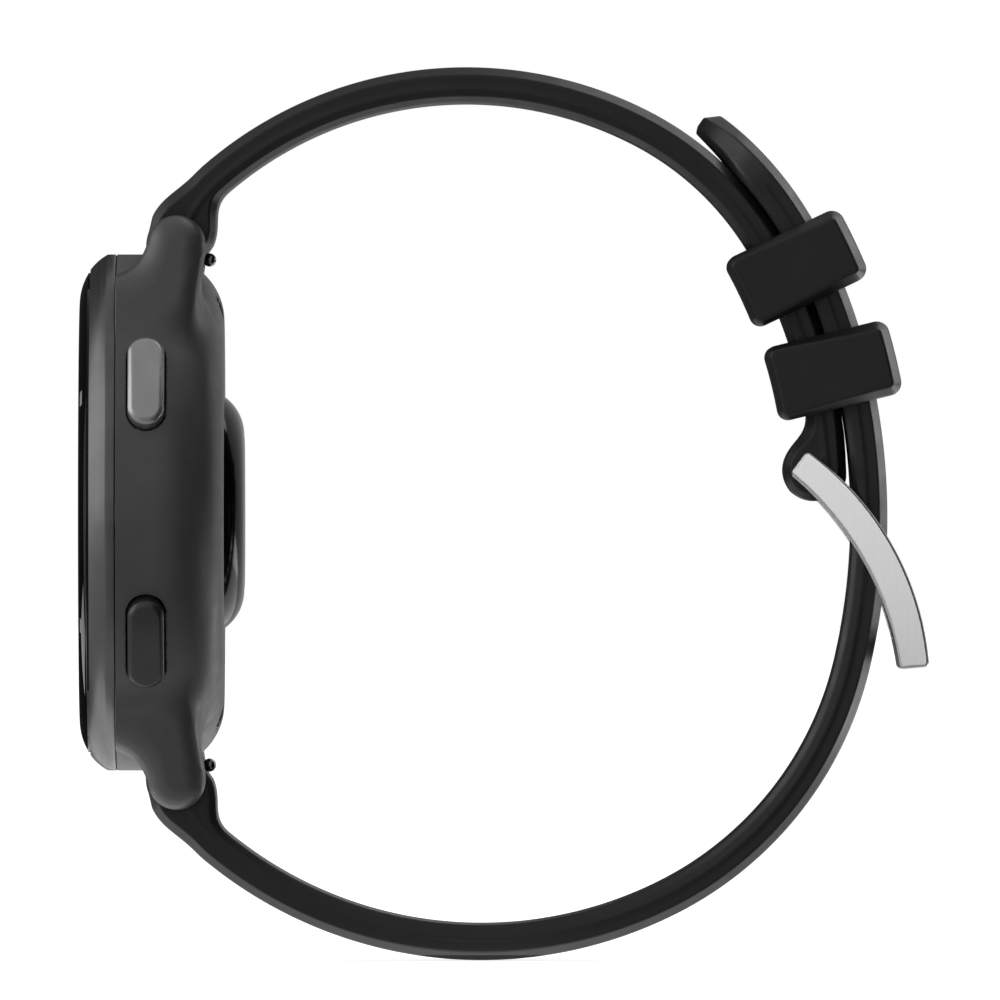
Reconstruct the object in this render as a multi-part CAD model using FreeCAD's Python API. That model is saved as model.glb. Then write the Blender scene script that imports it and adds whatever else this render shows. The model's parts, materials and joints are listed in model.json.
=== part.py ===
"""GPS running watch, buckled shut: a round case on a quick-release silicone band.

Millimetres. +Z points to 12 o'clock, the display faces -X, and the buttons are on the 3 o'clock side, -Y.
The origin is the centre of the flat back of the sensor window, which rests on the wrist.
The letter X in a name is a depth through the watch, from the lens (most negative) to the wrist (zero).
"""
import FreeCAD, Part
import math
import os

V = FreeCAD.Vector
AXIS_X = V(1, 0, 0)
AXIS_Y = V(0, 1, 0)
AXIS_Z = V(0, 0, 1)
CENTRE = V(0, 0, 0)

# ---- driving dimensions ------------------------------------------------------------------------------
CASE_R = 21.1               # case radius: a 42.2 mm watch
LENS_FRONT_X = -13.5        # flat front of the lens
LENS_EDGE_X = -12.62        # where the curved lens edge meets the bezel
SEAM_X = -10.51             # bezel meets case
BACK_X = -1.68              # flat part of the case back
SENSOR_X = 0.0              # flat back of the sensor window

LENS_FLAT_R = 17.0
LENS_R = 19.8
BEZEL_INNER_R = 16.1
BEZEL_LEDGE_X = -12.05      # ledge that the lens is glued to
CAVITY_R = 18.2
CASE_WALL = 1.25
SHOULDER_X = -7.4           # where the side of the case starts to round into the back
BACK_FLAT_R = 15.7
GASKET_R = (18.7, 19.4)
GASKET_T = 0.54

BAND_W = 19.8               # band width
LUG_GAP = 20.3              # gap between the lugs
LUG_ROOT_OUT = 14.5         # outer face of a lug where it leaves the case, from the middle
LUG_TIP_OUT = 12.9          # and at its tip
BAR_X = -5.5                # spring-bar axis
BAR_Z = 21.9
KNUCKLE_R = 2.35            # band end round the spring bar
POCKET_R = 2.6              # hollow in the case that the band end turns in
LUG_R = 2.25
LUG_HOLE_R = 0.5
LUG_HOLE_DEPTH = 1.3
BAR_TIP_R = 0.42
TUBE_R = 0.9
TUBE_BORE_R = 0.66
TUBE_Y = (-8.9, 9.2)        # ends of a spring bar's tube
PIN_SLIDER_Y = (-8.5, -6.3) # the part of a release pin that slides in the tube
PLUG_Y = 7.2                # where the fixed tip's plug starts
BAR_TIP_Y = 11.2            # end of each tip, in the lug
QUICK_TRAVEL = 1.3          # how far a quick-release pin slides
KNOB_Y = -7.4
KNOB_TILT = 26              # degrees that the knob points below level, towards the case
KNOB_REACH = 2.95
KNOB_R = 0.55
KNOB_STALK_R = 0.32
SPRING_WIRE_R = 0.09
SPRING_R = 0.42             # middle of the wire, from the bar's axis
SPRING_PITCH = 0.9

BAND_T = 2.9                # band thickness
EDGE_R = 0.6                # rounding of the band's long edges
STACK_X = 6.09              # centre of the round stretch where the two halves of the band lie together
STACK_Z = 1.35
STACK_R = 43.25             # radius of the face between the two halves
STACK_GAP = 0.06            # half the gap between them
STACK_ANGLES = (13.6, 27.9) # degrees where that stretch starts, by the buckle, and ends
PIN_X = 46.52               # buckle pin
PIN_Z = 3.47
BUCKLE_PIN_R = 0.75
BAND_END_R = 2.55           # band end round the buckle pin

ARM_IN = 10.3               # inner face of a buckle arm, from the middle
ARM_OUT = 12.0
ARM_UPPER = ((44.8, 2.95), (46.05, 4.87))       # inner and outer corners at the pin end
ARM_LOWER = ((53.5, -12.7), (55.85, -12.5))     # and at the crossbar end
ARM_INNER_MID = (50.0, -3.23)
ARM_OUTER_MID = (52.9, -2.75)
ARM_SKIN = 0.8              # metal left outside the blind hole for the buckle pin
CROSSBAR_TOP_Z = -10.3
HINGE_GAP = 0.05            # round the buckle pin
TONGUE_W = 2.2
TONGUE_T = 1.0
TONGUE_BARREL_R = 1.3
TONGUE_HEADING = 39.6       # degrees from straight down, as the tongue leaves its barrel
TONGUE_STRAIGHT = 10.0
TONGUE_BEND_R = 13.0
TONGUE_END_HEADING = 9.7
TONGUE_END = 1.45
TONGUE_SLOT_GAP = 0.35      # each side of the tongue, in the slot of the band's end
HOLE_W = 3.0                # adjustment holes, along the buckle pin
HOLE_L = 5.4                # adjustment holes, along the band
HOLE_CORNER = 0.8
HOLE_ANGLE = -2.85          # degrees round the buckle bend to the hole in use
HOLE_PITCH = 7.2
HOLES_TO_TIP = 4
HOLES_TO_LUG = 6
TIP_REACH = 7.0             # length of the band's rounded tip

KEEPER_HALF = 4.1           # degrees of the round stretch that half a keeper covers
KEEPER_ANGLES = {"keeper_lower": 13.7, "keeper_upper": 25.5}
KEEPER_WALL = 1.9
KEEPER_GAP = 0.28
KEEPER_CORNER = 1.6         # rounding outside, across the band
KEEPER_INNER_CORNER = 0.6

BUTTON_X = -7.96
BUTTON_ANGLE = 30           # degrees above and below 3 o'clock
BUTTON_W = 3.0
BUTTON_L = 8.16
BUTTON_FACE_R = 22.2
BUTTON_UNDER_R = 20.3
BUTTON_CHAMFER = 0.42
POCKET_FLOOR_R = 19.7
POCKET_GAP = 0.15
STEM_R = 0.9
STEM_BORE_R = 0.97
STEM_END_R = 16.75
GROOVE_R = 0.62             # the stem at its two grooves
SEAL_R = (18.75, 19.25)     # where the seal sits along the stem, from the watch's axis
SEAL_OUT = 0.955
CLIP_R = (17.7, 18.0)
CLIP_OUT = 1.4
SWITCH_OUT_R = 16.3
SWITCH_IN_R = 15.2
SWITCH_HALF = 1.7
PLUNGER_R = 0.7
FLEX_T = 0.15
BRACKET_T = 0.4

SCREW_Y = 4.0               # two screws at each end of the case, beside the band
SCREW_Z = 16.5
SCREW_R = 0.6
SCREW_HEAD_R = 1.1
SCREW_HEAD_H = 0.65
SCREW_SOCKET_R = 0.55
SCREW_SEAT_X = -2.75
SCREW_TIP_X = -11.6
BOSS_R = 1.5
BOSS_GAP = 0.15

DISPLAY_X = (-12.2, -11.0)
DISPLAY_R = 15.9
FRAME_X = (-10.45, -9.95)
FRAME_R = 17.9
BOARD_X = (-9.85, -9.15)
BOARD_R = 17.6
ANTENNA_R = 16.8            # where the antenna contacts stand, from the watch's axis
ANTENNA_ANGLE = 16          # degrees above and below 9 o'clock
CHIP_H = 0.7
SHIELD_H = 0.9
SHIELD_T = 0.15
BATTERY_X = (-8.0, -4.2)
BATTERY_Y = (-9.4, 8.6)
BATTERY_Z = 12.0
BATTERY_CORNER = 1.2
CRADLE_T = 0.45
CRADLE_RIM = 1.6

SENSOR_FLAT_R = 6.1         # flat back of the sensor window
SENSOR_BASE_R = 9.48
SENSOR_NECK_R = 8.95
SENSOR_RECESS_R = 7.6
SENSOR_RECESS_X = -0.85
SENSOR_BOARD_X = (-3.6, -3.0)
SENSOR_BOARD_R = 8.8
BAFFLE_R = 7.2
PHOTODIODE_Z = 4.3          # above and below the middle

CONTACT_Y = (-2.4, -0.8, 0.8, 2.4)
CONTACT_Z = -12.4
CONTACT_R = 0.45
CONTACT_FLANGE_R = 0.68
RECESS_Y = 3.7              # half the width of the charging recess
RECESS_Z = 1.3              # half its height
RECESS_DEPTH = 0.35

MOTOR_X = (-7.9, -5.2)
MOTOR_Y = 13.0
MOTOR_R = 4.0
MOTOR_FLOOR = 0.3
MOTOR_SHAFT_R = 0.4
ROTOR_R = 3.4
ROTOR_BORE_R = 0.46


# ---- small builders ----------------------------------------------------------------------------------
def rod_x(x0, x1, r, y=0.0, z=0.0):
    """A cylinder along X."""
    return Part.makeCylinder(r, x1 - x0, V(x0, y, z), AXIS_X)


def ring_x(x0, x1, r_out, r_in, y=0.0, z=0.0):
    """A washer shape along X."""
    return rod_x(x0, x1, r_out, y, z).cut(rod_x(x0 - 1, x1 + 1, r_in, y, z))


def rod_y(y0, y1, r, x=0.0, z=0.0):
    """A cylinder along Y."""
    return Part.makeCylinder(r, y1 - y0, V(x, y0, z), AXIS_Y)


def block(x0, x1, y0, y1, z0, z1):
    """A box between two corners."""
    return Part.makeBox(x1 - x0, y1 - y0, z1 - z0, V(x0, y0, z0))


def face_of(edges):
    """A flat face bounded by edges given in any order."""
    return Part.Face(Part.Wire(Part.sortEdges(edges)[0]))


def outline(steps):
    """Edges through points in the X-Z plane. A step of two points is the middle and end of an arc."""
    edges = []
    here = steps[0]
    for step in steps[1:] + [steps[0]]:
        if isinstance(step[0], tuple):
            middle, end = step
            edges.append(Part.Arc(V(here[0], 0, here[1]), V(middle[0], 0, middle[1]),
                                  V(end[0], 0, end[1])).toShape())
            here = end
        elif math.dist(here, step) > 1e-6:
            edges.append(Part.LineSegment(V(here[0], 0, here[1]), V(step[0], 0, step[1])).toShape())
            here = step
    return edges


def slab_y(face, y0, y1):
    """A face in the X-Z plane, made solid from y0 to y1."""
    moved = face.copy()
    moved.translate(V(0, y0, 0))
    return moved.extrude(V(0, y1 - y0, 0))


def spun(edges):
    """A profile in the X-Y plane (depth, radius), turned about the watch's own axis."""
    return face_of(edges).revolve(CENTRE, AXIS_X, 360)


def line(a, b):
    """A straight edge between (depth, radius) points."""
    return Part.LineSegment(V(a[0], a[1], 0), V(b[0], b[1], 0)).toShape()


def arc(a, b, c):
    """An arc through three (depth, radius) points."""
    return Part.Arc(V(a[0], a[1], 0), V(b[0], b[1], 0), V(c[0], c[1], 0)).toShape()


def joined(shapes):
    """One solid from several that meet."""
    return shapes[0].multiFuse(shapes[1:]).removeSplitter()


def group(shapes):
    """Separate solids kept in one node."""
    return Part.makeCompound(shapes)


def mirrored_z(shape):
    """The same shape on the other side of the watch, 12 o'clock to 6 o'clock."""
    return shape.mirror(CENTRE, AXIS_Z)


def pill_y(y0, y1, length, width, x=0.0, z=0.0):
    """A slot shape along Y: length along Z, width along X."""
    half = (length - width) / 2
    middle = block(x - width / 2, x + width / 2, y0, y1, z - half, z + half)
    ends = [rod_y(y0, y1, width / 2, x, z + side * half) for side in (-1, 1)]
    return joined([middle] + ends)


def at_button(shape, side):
    """Turn something made at 3 o'clock to 2 o'clock (side 1) or 4 o'clock (side -1)."""
    turned = shape.copy()
    turned.rotate(CENTRE, AXIS_X, -side * BUTTON_ANGLE)
    return turned


# ---- the band's two lines, as arcs that run into each other ------------------------------------------
def on_circle(centre, radius, degrees):
    return (centre[0] + radius * math.cos(math.radians(degrees)),
            centre[1] + radius * math.sin(math.radians(degrees)))


def bend_chain(start_centre, radius, start_deg, bends, direction):
    """Arcs that run into each other: a list of (centre, radius, from, to) in degrees.

    direction is 1 for anticlockwise and -1 for clockwise, and each bend is (radius, degrees turned).
    """
    chain = []
    centre = start_centre
    angle = start_deg
    for new_radius, turn in bends:
        centre = on_circle(centre, radius - new_radius, angle)
        radius = new_radius
        chain.append((centre, radius, angle, angle + direction * turn))
        angle += direction * turn
    return chain


def band_edges(chain, inward, outward):
    """The closed outline of a band of even thickness along a chain of arcs."""
    edges = []
    for centre, radius, a0, a1 in chain:
        for r in (radius - inward, radius + outward):
            ends = [on_circle(centre, r, a) for a in (a0, (a0 + a1) / 2, a1)]
            edges.append(Part.Arc(*[V(p[0], 0, p[1]) for p in ends]).toShape())
    for centre, radius, angle in ((chain[0][0], chain[0][1], chain[0][2]),
                                  (chain[-1][0], chain[-1][1], chain[-1][3])):
        a = on_circle(centre, radius - inward, angle)
        b = on_circle(centre, radius + outward, angle)
        edges.append(Part.LineSegment(V(a[0], 0, a[1]), V(b[0], 0, b[1])).toShape())
    return edges


def along(chain, distance):
    """The arc centre and angle that lie a distance along a chain, on its own line."""
    for centre, radius, a0, a1 in chain:
        length = radius * math.radians(abs(a1 - a0))
        if distance <= length:
            return centre, radius, a0 + (a1 - a0) * distance / length
        distance -= length
    raise ValueError("past the end of the band")


STACK = (STACK_X, STACK_Z)
MID_12 = STACK_R - STACK_GAP - BAND_T / 2
MID_6 = STACK_R + STACK_GAP + BAND_T / 2
STACK_START, STACK_END = STACK_ANGLES
END_12 = 3.0                # degrees where the 12 o'clock half runs into its buckle end
TIP_BEND = (27.9, 25.6)     # the tip follows the other half as it bends away
BUCKLE_BEND = (52.2, 26.9)

# from the buckle pin over the top to the 12 o'clock lugs
BENDS_12 = [(MID_12, STACK_END - END_12), (24.92, 34.7), (31.23, 68.2), (10.0, 36.5)]
CHAIN_12 = bend_chain(STACK, MID_12, END_12, BENDS_12, 1)
# from the tip round the outside, past the buckle and under the wrist to the 6 o'clock lugs
TIP_START = bend_chain(STACK, MID_6, STACK_END, [TIP_BEND], 1)[0]
BENDS_6 = [TIP_BEND, (MID_6, STACK_END - STACK_START), BUCKLE_BEND,
           (28.7, 50.25), (33.95, 65.9), (10.0, 37.1)]
CHAIN_6 = bend_chain(TIP_START[0], TIP_BEND[0], TIP_START[3], BENDS_6, -1)
TO_BUCKLE = sum(r * math.radians(abs(a1 - a0)) for _, r, a0, a1 in CHAIN_6[:2])
BUCKLE_HOLE = TO_BUCKLE + BUCKLE_BEND[0] * math.radians(STACK_START - HOLE_ANGLE)


# ---- case, bezel, lens -------------------------------------------------------------------------------
def back_curve(depth, height):
    """A quarter ellipse that rounds the side into the back."""
    oval = Part.Ellipse(V(SHOULDER_X, BACK_FLAT_R, 0), depth, height)
    if height > depth:
        raise ValueError("the back curve is deeper than it is high")
    return Part.ArcOfEllipse(oval, 0, math.pi / 2).toShape()


def lug_solid(top):
    """One lug at the +Y side, at 12 o'clock (top 1) or 6 o'clock (top -1)."""
    side_view = face_of(outline([
        (-10.3, 15.5), (-10.3, 18.75), ((-9.3, 19.6), (-8.3, 21.0)),
        (-7.6, 22.6), ((-5.5, BAR_Z + LUG_R), (-3.25, 22.0)), (-3.75, 19.8), (-4.2, 15.5)]))
    prism = slab_y(side_view, LUG_GAP / 2, LUG_ROOT_OUT + 1)
    front_view = Part.Face(Part.makePolygon([
        V(-11, LUG_GAP / 2, 15), V(-11, LUG_ROOT_OUT, 15), V(-11, LUG_TIP_OUT, BAR_Z + 3),
        V(-11, LUG_GAP / 2, BAR_Z + 3), V(-11, LUG_GAP / 2, 15)])).extrude(V(10, 0, 0))
    lug = prism.common(front_view)
    return lug if top > 0 else mirrored_z(lug)


def screw_places():
    return [(sy * SCREW_Y, sz * SCREW_Z) for sy in (-1, 1) for sz in (-1, 1)]


def make_case():
    outer = spun([line((SEAM_X, 0), (SEAM_X, CASE_R)), line((SEAM_X, CASE_R), (SHOULDER_X, CASE_R)),
                  back_curve(BACK_X - SHOULDER_X, CASE_R - BACK_FLAT_R),
                  line((BACK_X, BACK_FLAT_R), (BACK_X, 0)), line((BACK_X, 0), (SEAM_X, 0))])
    right_lugs = [lug_solid(top) for top in (-1, 1)]
    left_lugs = [lug.mirror(CENTRE, AXIS_Y) for lug in right_lugs]
    body = joined([outer] + right_lugs + left_lugs)

    inner_back = BACK_X - CASE_WALL
    start = SEAM_X - 1
    cavity = spun([line((start, 0), (start, CAVITY_R)), line((start, CAVITY_R), (SHOULDER_X, CAVITY_R)),
                   back_curve(inner_back - SHOULDER_X, CAVITY_R - BACK_FLAT_R),
                   line((inner_back, BACK_FLAT_R), (inner_back, 0)), line((inner_back, 0), (start, 0))])
    bosses = [rod_x(SEAM_X, BACK_X - 1.0, BOSS_R, y, z) for y, z in screw_places()]
    body = joined([body.cut(cavity)] + bosses)

    gasket_groove = ring_x(SEAM_X - 1, SEAM_X + GASKET_T + 0.02, GASKET_R[1], GASKET_R[0])
    sensor_opening = rod_x(-4, 0, SENSOR_NECK_R + 0.05)
    charging_recess = block(BACK_X - RECESS_DEPTH, 0, -RECESS_Y, RECESS_Y,
                            CONTACT_Z - RECESS_Z, CONTACT_Z + RECESS_Z)
    cuts = [gasket_groove, sensor_opening, charging_recess]
    for y in CONTACT_Y:
        cuts.append(rod_x(-4, 0, CONTACT_R, y, CONTACT_Z))
    for y, z in screw_places():
        cuts.append(rod_x(SEAM_X - 1, 0, SCREW_R + 0.05, y, z))
        cuts.append(rod_x(SCREW_SEAT_X, 0, SCREW_HEAD_R + 0.1, y, z))
    for top in (-1, 1):
        cuts.append(rod_y(-LUG_GAP / 2, LUG_GAP / 2, POCKET_R, BAR_X, top * BAR_Z))
        hole_end = LUG_GAP / 2 + LUG_HOLE_DEPTH
        cuts.append(rod_y(-hole_end, hole_end, LUG_HOLE_R, BAR_X, top * BAR_Z))
        pocket = pill_y(-CASE_R - 4, -POCKET_FLOOR_R, BUTTON_L + 2 * POCKET_GAP,
                        BUTTON_W + 2 * POCKET_GAP, BUTTON_X)
        bore = rod_y(-CASE_R, -CAVITY_R + 1.5, STEM_BORE_R, BUTTON_X)
        cuts.append(at_button(pocket, top))
        cuts.append(at_button(bore, top))
    return body.cut(group(cuts))


def make_charge_contacts():
    pins = []
    for y in CONTACT_Y:
        pin = rod_x(-3.55, BACK_X - 0.25, CONTACT_R, y, CONTACT_Z)
        flange = rod_x(-3.3, BACK_X - CASE_WALL, CONTACT_FLANGE_R, y, CONTACT_Z)
        pins.append(joined([pin, flange]))
    return group(pins)


def make_bezel():
    ledge_x = BEZEL_LEDGE_X
    lip_r = LENS_R + 0.05
    ring = spun([line((SEAM_X, BEZEL_INNER_R), (SEAM_X, CASE_R)), line((SEAM_X, CASE_R), (-11.2, CASE_R)),
                 arc((-11.2, CASE_R), (-12.07, 20.48), (LENS_EDGE_X, lip_r)),
                 line((LENS_EDGE_X, lip_r), (ledge_x, lip_r)),
                 line((ledge_x, lip_r), (ledge_x, BEZEL_INNER_R)),
                 line((ledge_x, BEZEL_INNER_R), (SEAM_X, BEZEL_INNER_R))])
    holes = [rod_x(SCREW_TIP_X - 0.15, SEAM_X + 1, SCREW_R, y, z) for y, z in screw_places()]
    return ring.cut(group(holes))


def make_lens():
    rear = DISPLAY_X[0]
    return spun([line((LENS_FRONT_X, 0), (LENS_FRONT_X, LENS_FLAT_R)),
                 arc((LENS_FRONT_X, LENS_FLAT_R), (-13.26, 18.55), (LENS_EDGE_X, LENS_R)),
                 line((LENS_EDGE_X, LENS_R), (rear, LENS_R)), line((rear, LENS_R), (rear, 0)),
                 line((rear, 0), (LENS_FRONT_X, 0))])


def make_screws():
    screws = []
    for y, z in screw_places():
        shank = rod_x(SCREW_TIP_X, SCREW_SEAT_X, SCREW_R, y, z)
        head = rod_x(SCREW_SEAT_X, SCREW_SEAT_X + SCREW_HEAD_H, SCREW_HEAD_R, y, z)
        corners = [V(SCREW_SEAT_X + SCREW_HEAD_H / 2, *on_circle((y, z), SCREW_SOCKET_R, 60 * k))
                   for k in range(7)]
        socket = Part.Face(Part.makePolygon(corners)).extrude(V(1, 0, 0))
        screws.append(joined([shank, head]).cut(socket))
    return group(screws)


# ---- inside the case ---------------------------------------------------------------------------------
def boss_clearance(x0, x1):
    return [rod_x(x0 - 1, x1 + 1, BOSS_R + BOSS_GAP, y, z) for y, z in screw_places()]


def make_middle_frame():
    plate = rod_x(*FRAME_X, FRAME_R)
    flex_slot = block(-12, -8, -5.5, 5.5, -14.6, -12.8)
    middle = rod_x(-12, -8, 7.0)
    holes = [rod_x(-12, -8, 0.7, y, z) for y, z in antenna_places()]
    return plate.cut(group([flex_slot, middle] + holes + boss_clearance(*FRAME_X)))


def antenna_places():
    return [on_circle((0, 0), ANTENNA_R, degrees) for degrees in (-ANTENNA_ANGLE, ANTENNA_ANGLE)]


def make_antenna_contacts():
    posts = []
    for y, z in antenna_places():
        foot = rod_x(BOARD_X[0] - 0.25, BOARD_X[0], 0.6, y, z)
        post = rod_x(SEAM_X, BOARD_X[0], 0.35, y, z)
        posts.append(joined([foot, post]))
    return group(posts)


def make_display_flex():
    across = block(-10.99, -10.84, -4.5, 4.5, -14.2, -9.0)
    down = block(-10.99, BOARD_X[0] - 0.15, -4.5, 4.5, -14.2, -14.05)
    foot = block(BOARD_X[0] - 0.15, BOARD_X[0], -4.5, 4.5, -14.2, -13.0)
    return joined([across, down, foot])


def button_relief():
    """Room round each button's stem and clip."""
    relief = rod_y(-CAVITY_R - 0.8, -STEM_END_R + 0.6, CLIP_OUT + 0.3, BUTTON_X)
    return [at_button(relief, side) for side in (-1, 1)]


def make_main_board():
    board = rod_x(*BOARD_X, BOARD_R)
    return board.cut(group(boss_clearance(*BOARD_X) + button_relief()))


def make_board_chips():
    """Processor, memory, power, radio and connector, under the board."""
    places = [(-6.5, 5.0, 5.0, 5.0), (0.5, 5.5, 4.0, 3.2), (-6.5, -3.5, 3.4, 3.4), (0.2, -3.0, 2.6, 4.2),
              (-1.5, -9.5, 7.0, 1.8), (-9.0, -9.0, 2.0, 2.0)]
    chips = []
    for y, z, wide, high in places:
        chips.append(block(BOARD_X[1], BOARD_X[1] + CHIP_H,
                           y - wide / 2, y + wide / 2, z - high / 2, z + high / 2))
    return group(chips)


def make_shield_can():
    outer = block(BOARD_X[1], BOARD_X[1] + SHIELD_H, 4.4, 13.4, -5.6, 5.6)
    inner = block(BOARD_X[1] - 1, BOARD_X[1] + SHIELD_H - SHIELD_T, 4.4 + SHIELD_T, 13.4 - SHIELD_T,
                  -5.6 + SHIELD_T, 5.6 - SHIELD_T)
    return outer.cut(inner)


def make_battery():
    cell = block(*BATTERY_X, *BATTERY_Y, -BATTERY_Z, BATTERY_Z)
    return cell.makeFillet(BATTERY_CORNER, [e for e in cell.Edges if abs(e.tangentAt(0).x) > 0.9])


def make_battery_pad():
    return block(BOARD_X[1] + SHIELD_H + 0.02, BATTERY_X[0], -8.5, 4.0, -11.0, 11.0)


def make_battery_cradle():
    floor_x = BATTERY_X[1]
    y0, y1 = BATTERY_Y[0] - 0.7, BATTERY_Y[1] + 0.25
    z1 = BATTERY_Z + 0.7
    gap = 0.1
    plate = block(floor_x, floor_x + CRADLE_T, y0, y1, -z1, z1)
    rim = block(floor_x - CRADLE_RIM, floor_x, y0, y1, -z1, z1)
    hollow = block(floor_x - 3, floor_x, BATTERY_Y[0] - gap, BATTERY_Y[1] + gap,
                   -BATTERY_Z - gap, BATTERY_Z + gap)
    return joined([plate, rim.cut(hollow)]).cut(group(boss_clearance(floor_x - 2, floor_x + 1)))


def make_motor_base():
    disc = rod_x(MOTOR_X[1] - MOTOR_FLOOR, MOTOR_X[1], MOTOR_R, MOTOR_Y)
    shaft = rod_x(MOTOR_X[0] + 0.35, MOTOR_X[1], MOTOR_SHAFT_R, MOTOR_Y)
    return joined([disc, shaft])


def make_motor_cap():
    outer = rod_x(MOTOR_X[0], MOTOR_X[1] - MOTOR_FLOOR, MOTOR_R, MOTOR_Y)
    return outer.cut(rod_x(MOTOR_X[0] + 0.25, MOTOR_X[1], MOTOR_R - 0.25, MOTOR_Y))


def make_motor_rotor():
    """A half disc of heavy metal on a sleeve, so that it shakes as it turns."""
    x0, x1 = MOTOR_X[0] + 0.6, MOTOR_X[1] - 0.6
    weight = rod_x(x0, x1, ROTOR_R, MOTOR_Y).cut(block(x0 - 1, x1 + 1, MOTOR_Y - 5, MOTOR_Y + 5, 0.0, 5))
    sleeve = rod_x(x0, x1, 1.0, MOTOR_Y)
    return joined([weight, sleeve]).cut(rod_x(x0 - 1, x1 + 1, ROTOR_BORE_R, MOTOR_Y))


# ---- heart-rate sensor -------------------------------------------------------------------------------
def make_sensor_window():
    base, rim = (BACK_X, SENSOR_BASE_R), (SENSOR_X, SENSOR_FLAT_R)
    bump = spun([line((BACK_X, 0), base), arc(base, (-0.62, 8.35), rim), line(rim, (SENSOR_X, 0)),
                 line((SENSOR_X, 0), (BACK_X, 0))])
    neck = rod_x(BACK_X - CASE_WALL, BACK_X, SENSOR_NECK_R)
    return joined([bump, neck]).cut(rod_x(-4, SENSOR_RECESS_X, SENSOR_RECESS_R))


def make_sensor_board():
    return rod_x(*SENSOR_BOARD_X, SENSOR_BOARD_R)


def make_sensor_leds():
    places = [(0, 0), (2.6, 0), (-2.6, 0)]
    return group([block(SENSOR_BOARD_X[1], SENSOR_BOARD_X[1] + 0.8, y - 0.8, y + 0.8, z - 0.8, z + 0.8)
                  for y, z in places])


def make_sensor_photodiodes():
    return group([block(SENSOR_BOARD_X[1], SENSOR_BOARD_X[1] + 0.6, -1.5, 1.5, z - 1.1, z + 1.1)
                  for z in (-PHOTODIODE_Z, PHOTODIODE_Z)])


def make_sensor_baffle():
    """Black walls that keep the light of the diodes from the receivers."""
    plate = rod_x(SENSOR_BOARD_X[1], SENSOR_RECESS_X - 0.1, BAFFLE_R)
    openings = [block(-4, 0, -4.0, 4.0, -1.4, 1.4)]
    for side in (-1, 1):
        openings.append(block(-4, 0, -2.0, 2.0, side * PHOTODIODE_Z - 1.5, side * PHOTODIODE_Z + 1.5))
    return plate.cut(group(openings))


# ---- buttons -----------------------------------------------------------------------------------------
def make_button(side):
    cap = pill_y(-BUTTON_FACE_R - 1, -BUTTON_UNDER_R, BUTTON_L, BUTTON_W, BUTTON_X)
    cap = cap.common(rod_x(BUTTON_X - 3, BUTTON_X + 3, BUTTON_FACE_R))
    rim = [e for e in cap.Edges if e.BoundBox.YMax < -BUTTON_UNDER_R - 1.0]
    cap = cap.makeChamfer(BUTTON_CHAMFER, rim)
    stem = rod_y(-BUTTON_UNDER_R - 0.3, -STEM_END_R, STEM_R, BUTTON_X)
    grooves = [stem_ring(radii, STEM_R + 1) for radii in (SEAL_R, CLIP_R)]
    return at_button(joined([cap, stem]).cut(group(grooves)), side)


def stem_ring(radii, outer):
    """A ring in a groove of a button's stem, between two distances from the watch's axis."""
    near, far = radii
    return rod_y(-far, -near, outer, BUTTON_X).cut(rod_y(-far - 1, -near + 1, GROOVE_R, BUTTON_X))


def make_button_seal(side):
    return at_button(stem_ring(SEAL_R, SEAL_OUT), side)


def make_button_clip(side):
    mouth = block(BUTTON_X, BUTTON_X + 2, -CLIP_R[1] - 1, -CLIP_R[0] + 1, -0.5, 0.5)
    return at_button(stem_ring(CLIP_R, CLIP_OUT).cut(mouth), side)


def make_switch(side):
    body = block(BUTTON_X - 1.1, BUTTON_X + 1.1, -SWITCH_OUT_R, -SWITCH_IN_R, -SWITCH_HALF, SWITCH_HALF)
    well = rod_y(-SWITCH_OUT_R - 1, -SWITCH_OUT_R + 0.75, PLUNGER_R + 0.06, BUTTON_X)
    return at_button(body.cut(well), side)


def make_switch_plunger(side):
    return at_button(rod_y(-STEM_END_R, -SWITCH_OUT_R + 0.2, PLUNGER_R, BUTTON_X), side)


def curved_strip(r0, r1, half_angle, half_width):
    """A strip bent round the watch's axis, behind both switches."""
    whole = ring_x(BUTTON_X - half_width, BUTTON_X + half_width, r1, r0)
    wedge = Part.Face(Part.makePolygon([
        V(-20, 0, 0), V(-20, -30, -30 * math.tan(math.radians(half_angle))),
        V(-20, -30, 30 * math.tan(math.radians(half_angle))), V(-20, 0, 0)])).extrude(V(30, 0, 0))
    return whole.common(wedge)


def switch_flats(r0, r1):
    """Flat pads of a strip where the switches sit."""
    half = SWITCH_HALF + 0.2
    return [at_button(block(BUTTON_X - 1.1, BUTTON_X + 1.1, -r1, -r0, -half, half), side) for side in (-1, 1)]


def make_button_flex():
    inner_r = SWITCH_IN_R - FLEX_T
    flats = switch_flats(inner_r, SWITCH_IN_R)
    strip = curved_strip(inner_r, SWITCH_IN_R, 25.5, 1.0)
    tail = block(BOARD_X[1], BUTTON_X, -SWITCH_IN_R, -inner_r - 0.03, -0.8, 0.8)
    return joined([strip, tail] + flats)


def make_button_bracket():
    outer_r = SWITCH_IN_R - 2 * FLEX_T
    flats = switch_flats(outer_r - BRACKET_T, outer_r)
    return joined([curved_strip(outer_r - BRACKET_T, outer_r - 0.1, 25, 1.0)] + flats)


# ---- band --------------------------------------------------------------------------------------------
def neck_outline():
    """The thicker root of the band, outside the spring bar, in the X-Z plane at 12 o'clock."""
    return outline([(BAR_X, BAR_Z), (BAR_X - KNUCKLE_R, BAR_Z),
                    ((-7.25, 24.25), (-5.1, 26.6)), (-3.4, 28.2), (-2.2, 27.2), (-3.5, 23.5)])


def quick_release_cuts():
    """The bore for the spring bar and the slot that its knob slides in, at 12 o'clock."""
    bore = rod_y(-BAND_W, BAND_W, TUBE_R, BAR_X, BAR_Z)
    return [bore, knob_slot(4, KNOB_R + 0.2)]


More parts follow.
